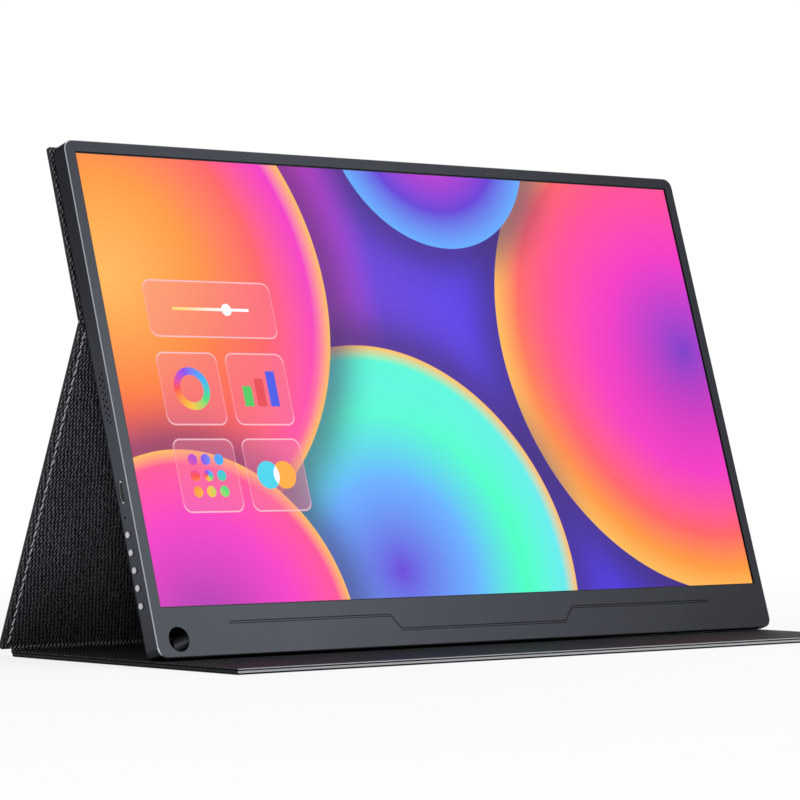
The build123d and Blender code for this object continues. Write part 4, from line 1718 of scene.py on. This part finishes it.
@dataclass(frozen=True)
class Studio:
    """Camera, floor and light, in metres and degrees, with the lens and sensor in millimetres."""

    camera_at: Point3 = (-1.04731, -1.16498, 0.09394)
    azimuth: float = -41.317
    tilt: float = 0.508
    focal: float = 161.73
    sensor: float = 36.0
    sight: float = 100.0
    floor_reach: float = 40.0
    floor_drop: float = 0.00002
    floor_colour: Colour = (0.9, 0.9, 0.9)
    shade_start: float = 0.18
    shade_end: float = 0.9
    shade_light: float = 0.8
    sky_colour: Colour = (0.86, 0.88, 0.92)
    sky_strength: float = 0.62
    white: Colour = (1.0, 1.0, 1.0)
    lamps: tuple[Lamp, ...] = (
        Lamp("front_lamp", (0.55, -0.87, 0.6), 0.5, 5.0),
        Lamp("low_lamp", (0.3, -1.3, 0.06), 0.3, 7.0),
        Lamp("left_lamp", (-1.15, -1.35, 0.09), 0.4, 7.0),
        Lamp("back_lamp", (-0.55, 0.45, 0.01), 0.2, 0.75),
        Lamp("right_lamp", (1.3, 1.45, 0.1), 0.4, 6.0),
        Lamp("top_lamp", (0.1, 0.2, 1.5), 1.2, 3.0),
    )

    def camera(self) -> None:
        """Place the camera as in the photograph."""
        data = bpy.data.cameras.new("camera")
        data.lens = self.focal
        data.sensor_width = self.sensor
        data.sensor_fit = "HORIZONTAL"
        data.clip_end = self.sight
        obj = bpy.data.objects.new("camera", data)
        obj.location = self.camera_at
        obj.rotation_euler = (math.radians(90.0 + self.tilt), 0.0, math.radians(self.azimuth))
        bpy.context.scene.collection.objects.link(obj)
        bpy.context.scene.camera = obj

    def floor(self) -> None:
        """Lay a plain white floor that keeps a soft shadow near the object."""
        maker = MeshMaker(Local(Vector((0.0, 0.0, 0.0)), BACK))
        reach = self.floor_reach / MM
        corners = ((-reach, -reach), (reach, -reach), (reach, reach), (-reach, reach))
        maker.faces.append([maker.add(x, y, -self.floor_drop / MM) for x, y in corners])
        g = Graph("white_floor")
        at = g.place()
        away = g.dot(at, ACROSS).hypot(g.dot(at, BACK)).rise(self.shade_start, self.shade_end)
        shade = g.node("ShaderNodeBsdfDiffuse", None, {"Color": self.floor_colour})
        bright = g.node("ShaderNodeEmission", None, {"Color": self.white, "Strength": 1.0})
        share = g.shown() * (self.shade_light + (1.0 - self.shade_light) * away)
        maker.build("floor", g.between(share, shade, bright))

    def world(self) -> None:
        """Light everything softly, with a white background that gloss shows too."""
        g = Graph("studio", world=True)
        sky = {"Color": self.sky_colour, "Strength": self.sky_strength}
        soft = g.node("ShaderNodeBackground", None, sky)
        white = g.node("ShaderNodeBackground", None, {"Color": self.white, "Strength": 1.0})
        bpy.context.scene.world = g.between(g.shown(), soft, white)

    def build(self) -> None:
        """Set up the whole studio."""
        self.camera()
        self.floor()
        self.world()
        for lamp in self.lamps:
            lamp.hang()
        bpy.context.scene.view_settings.view_transform = "Standard"


def main() -> None:
    """Build every piece in order."""
    logging.basicConfig(level=logging.INFO, format="%(name)s %(message)s")
    stand = Stand()
    Studio().build()
    Monitor(stand).build()
    Cover(stand).build()


if __name__ == "__main__":
    main()
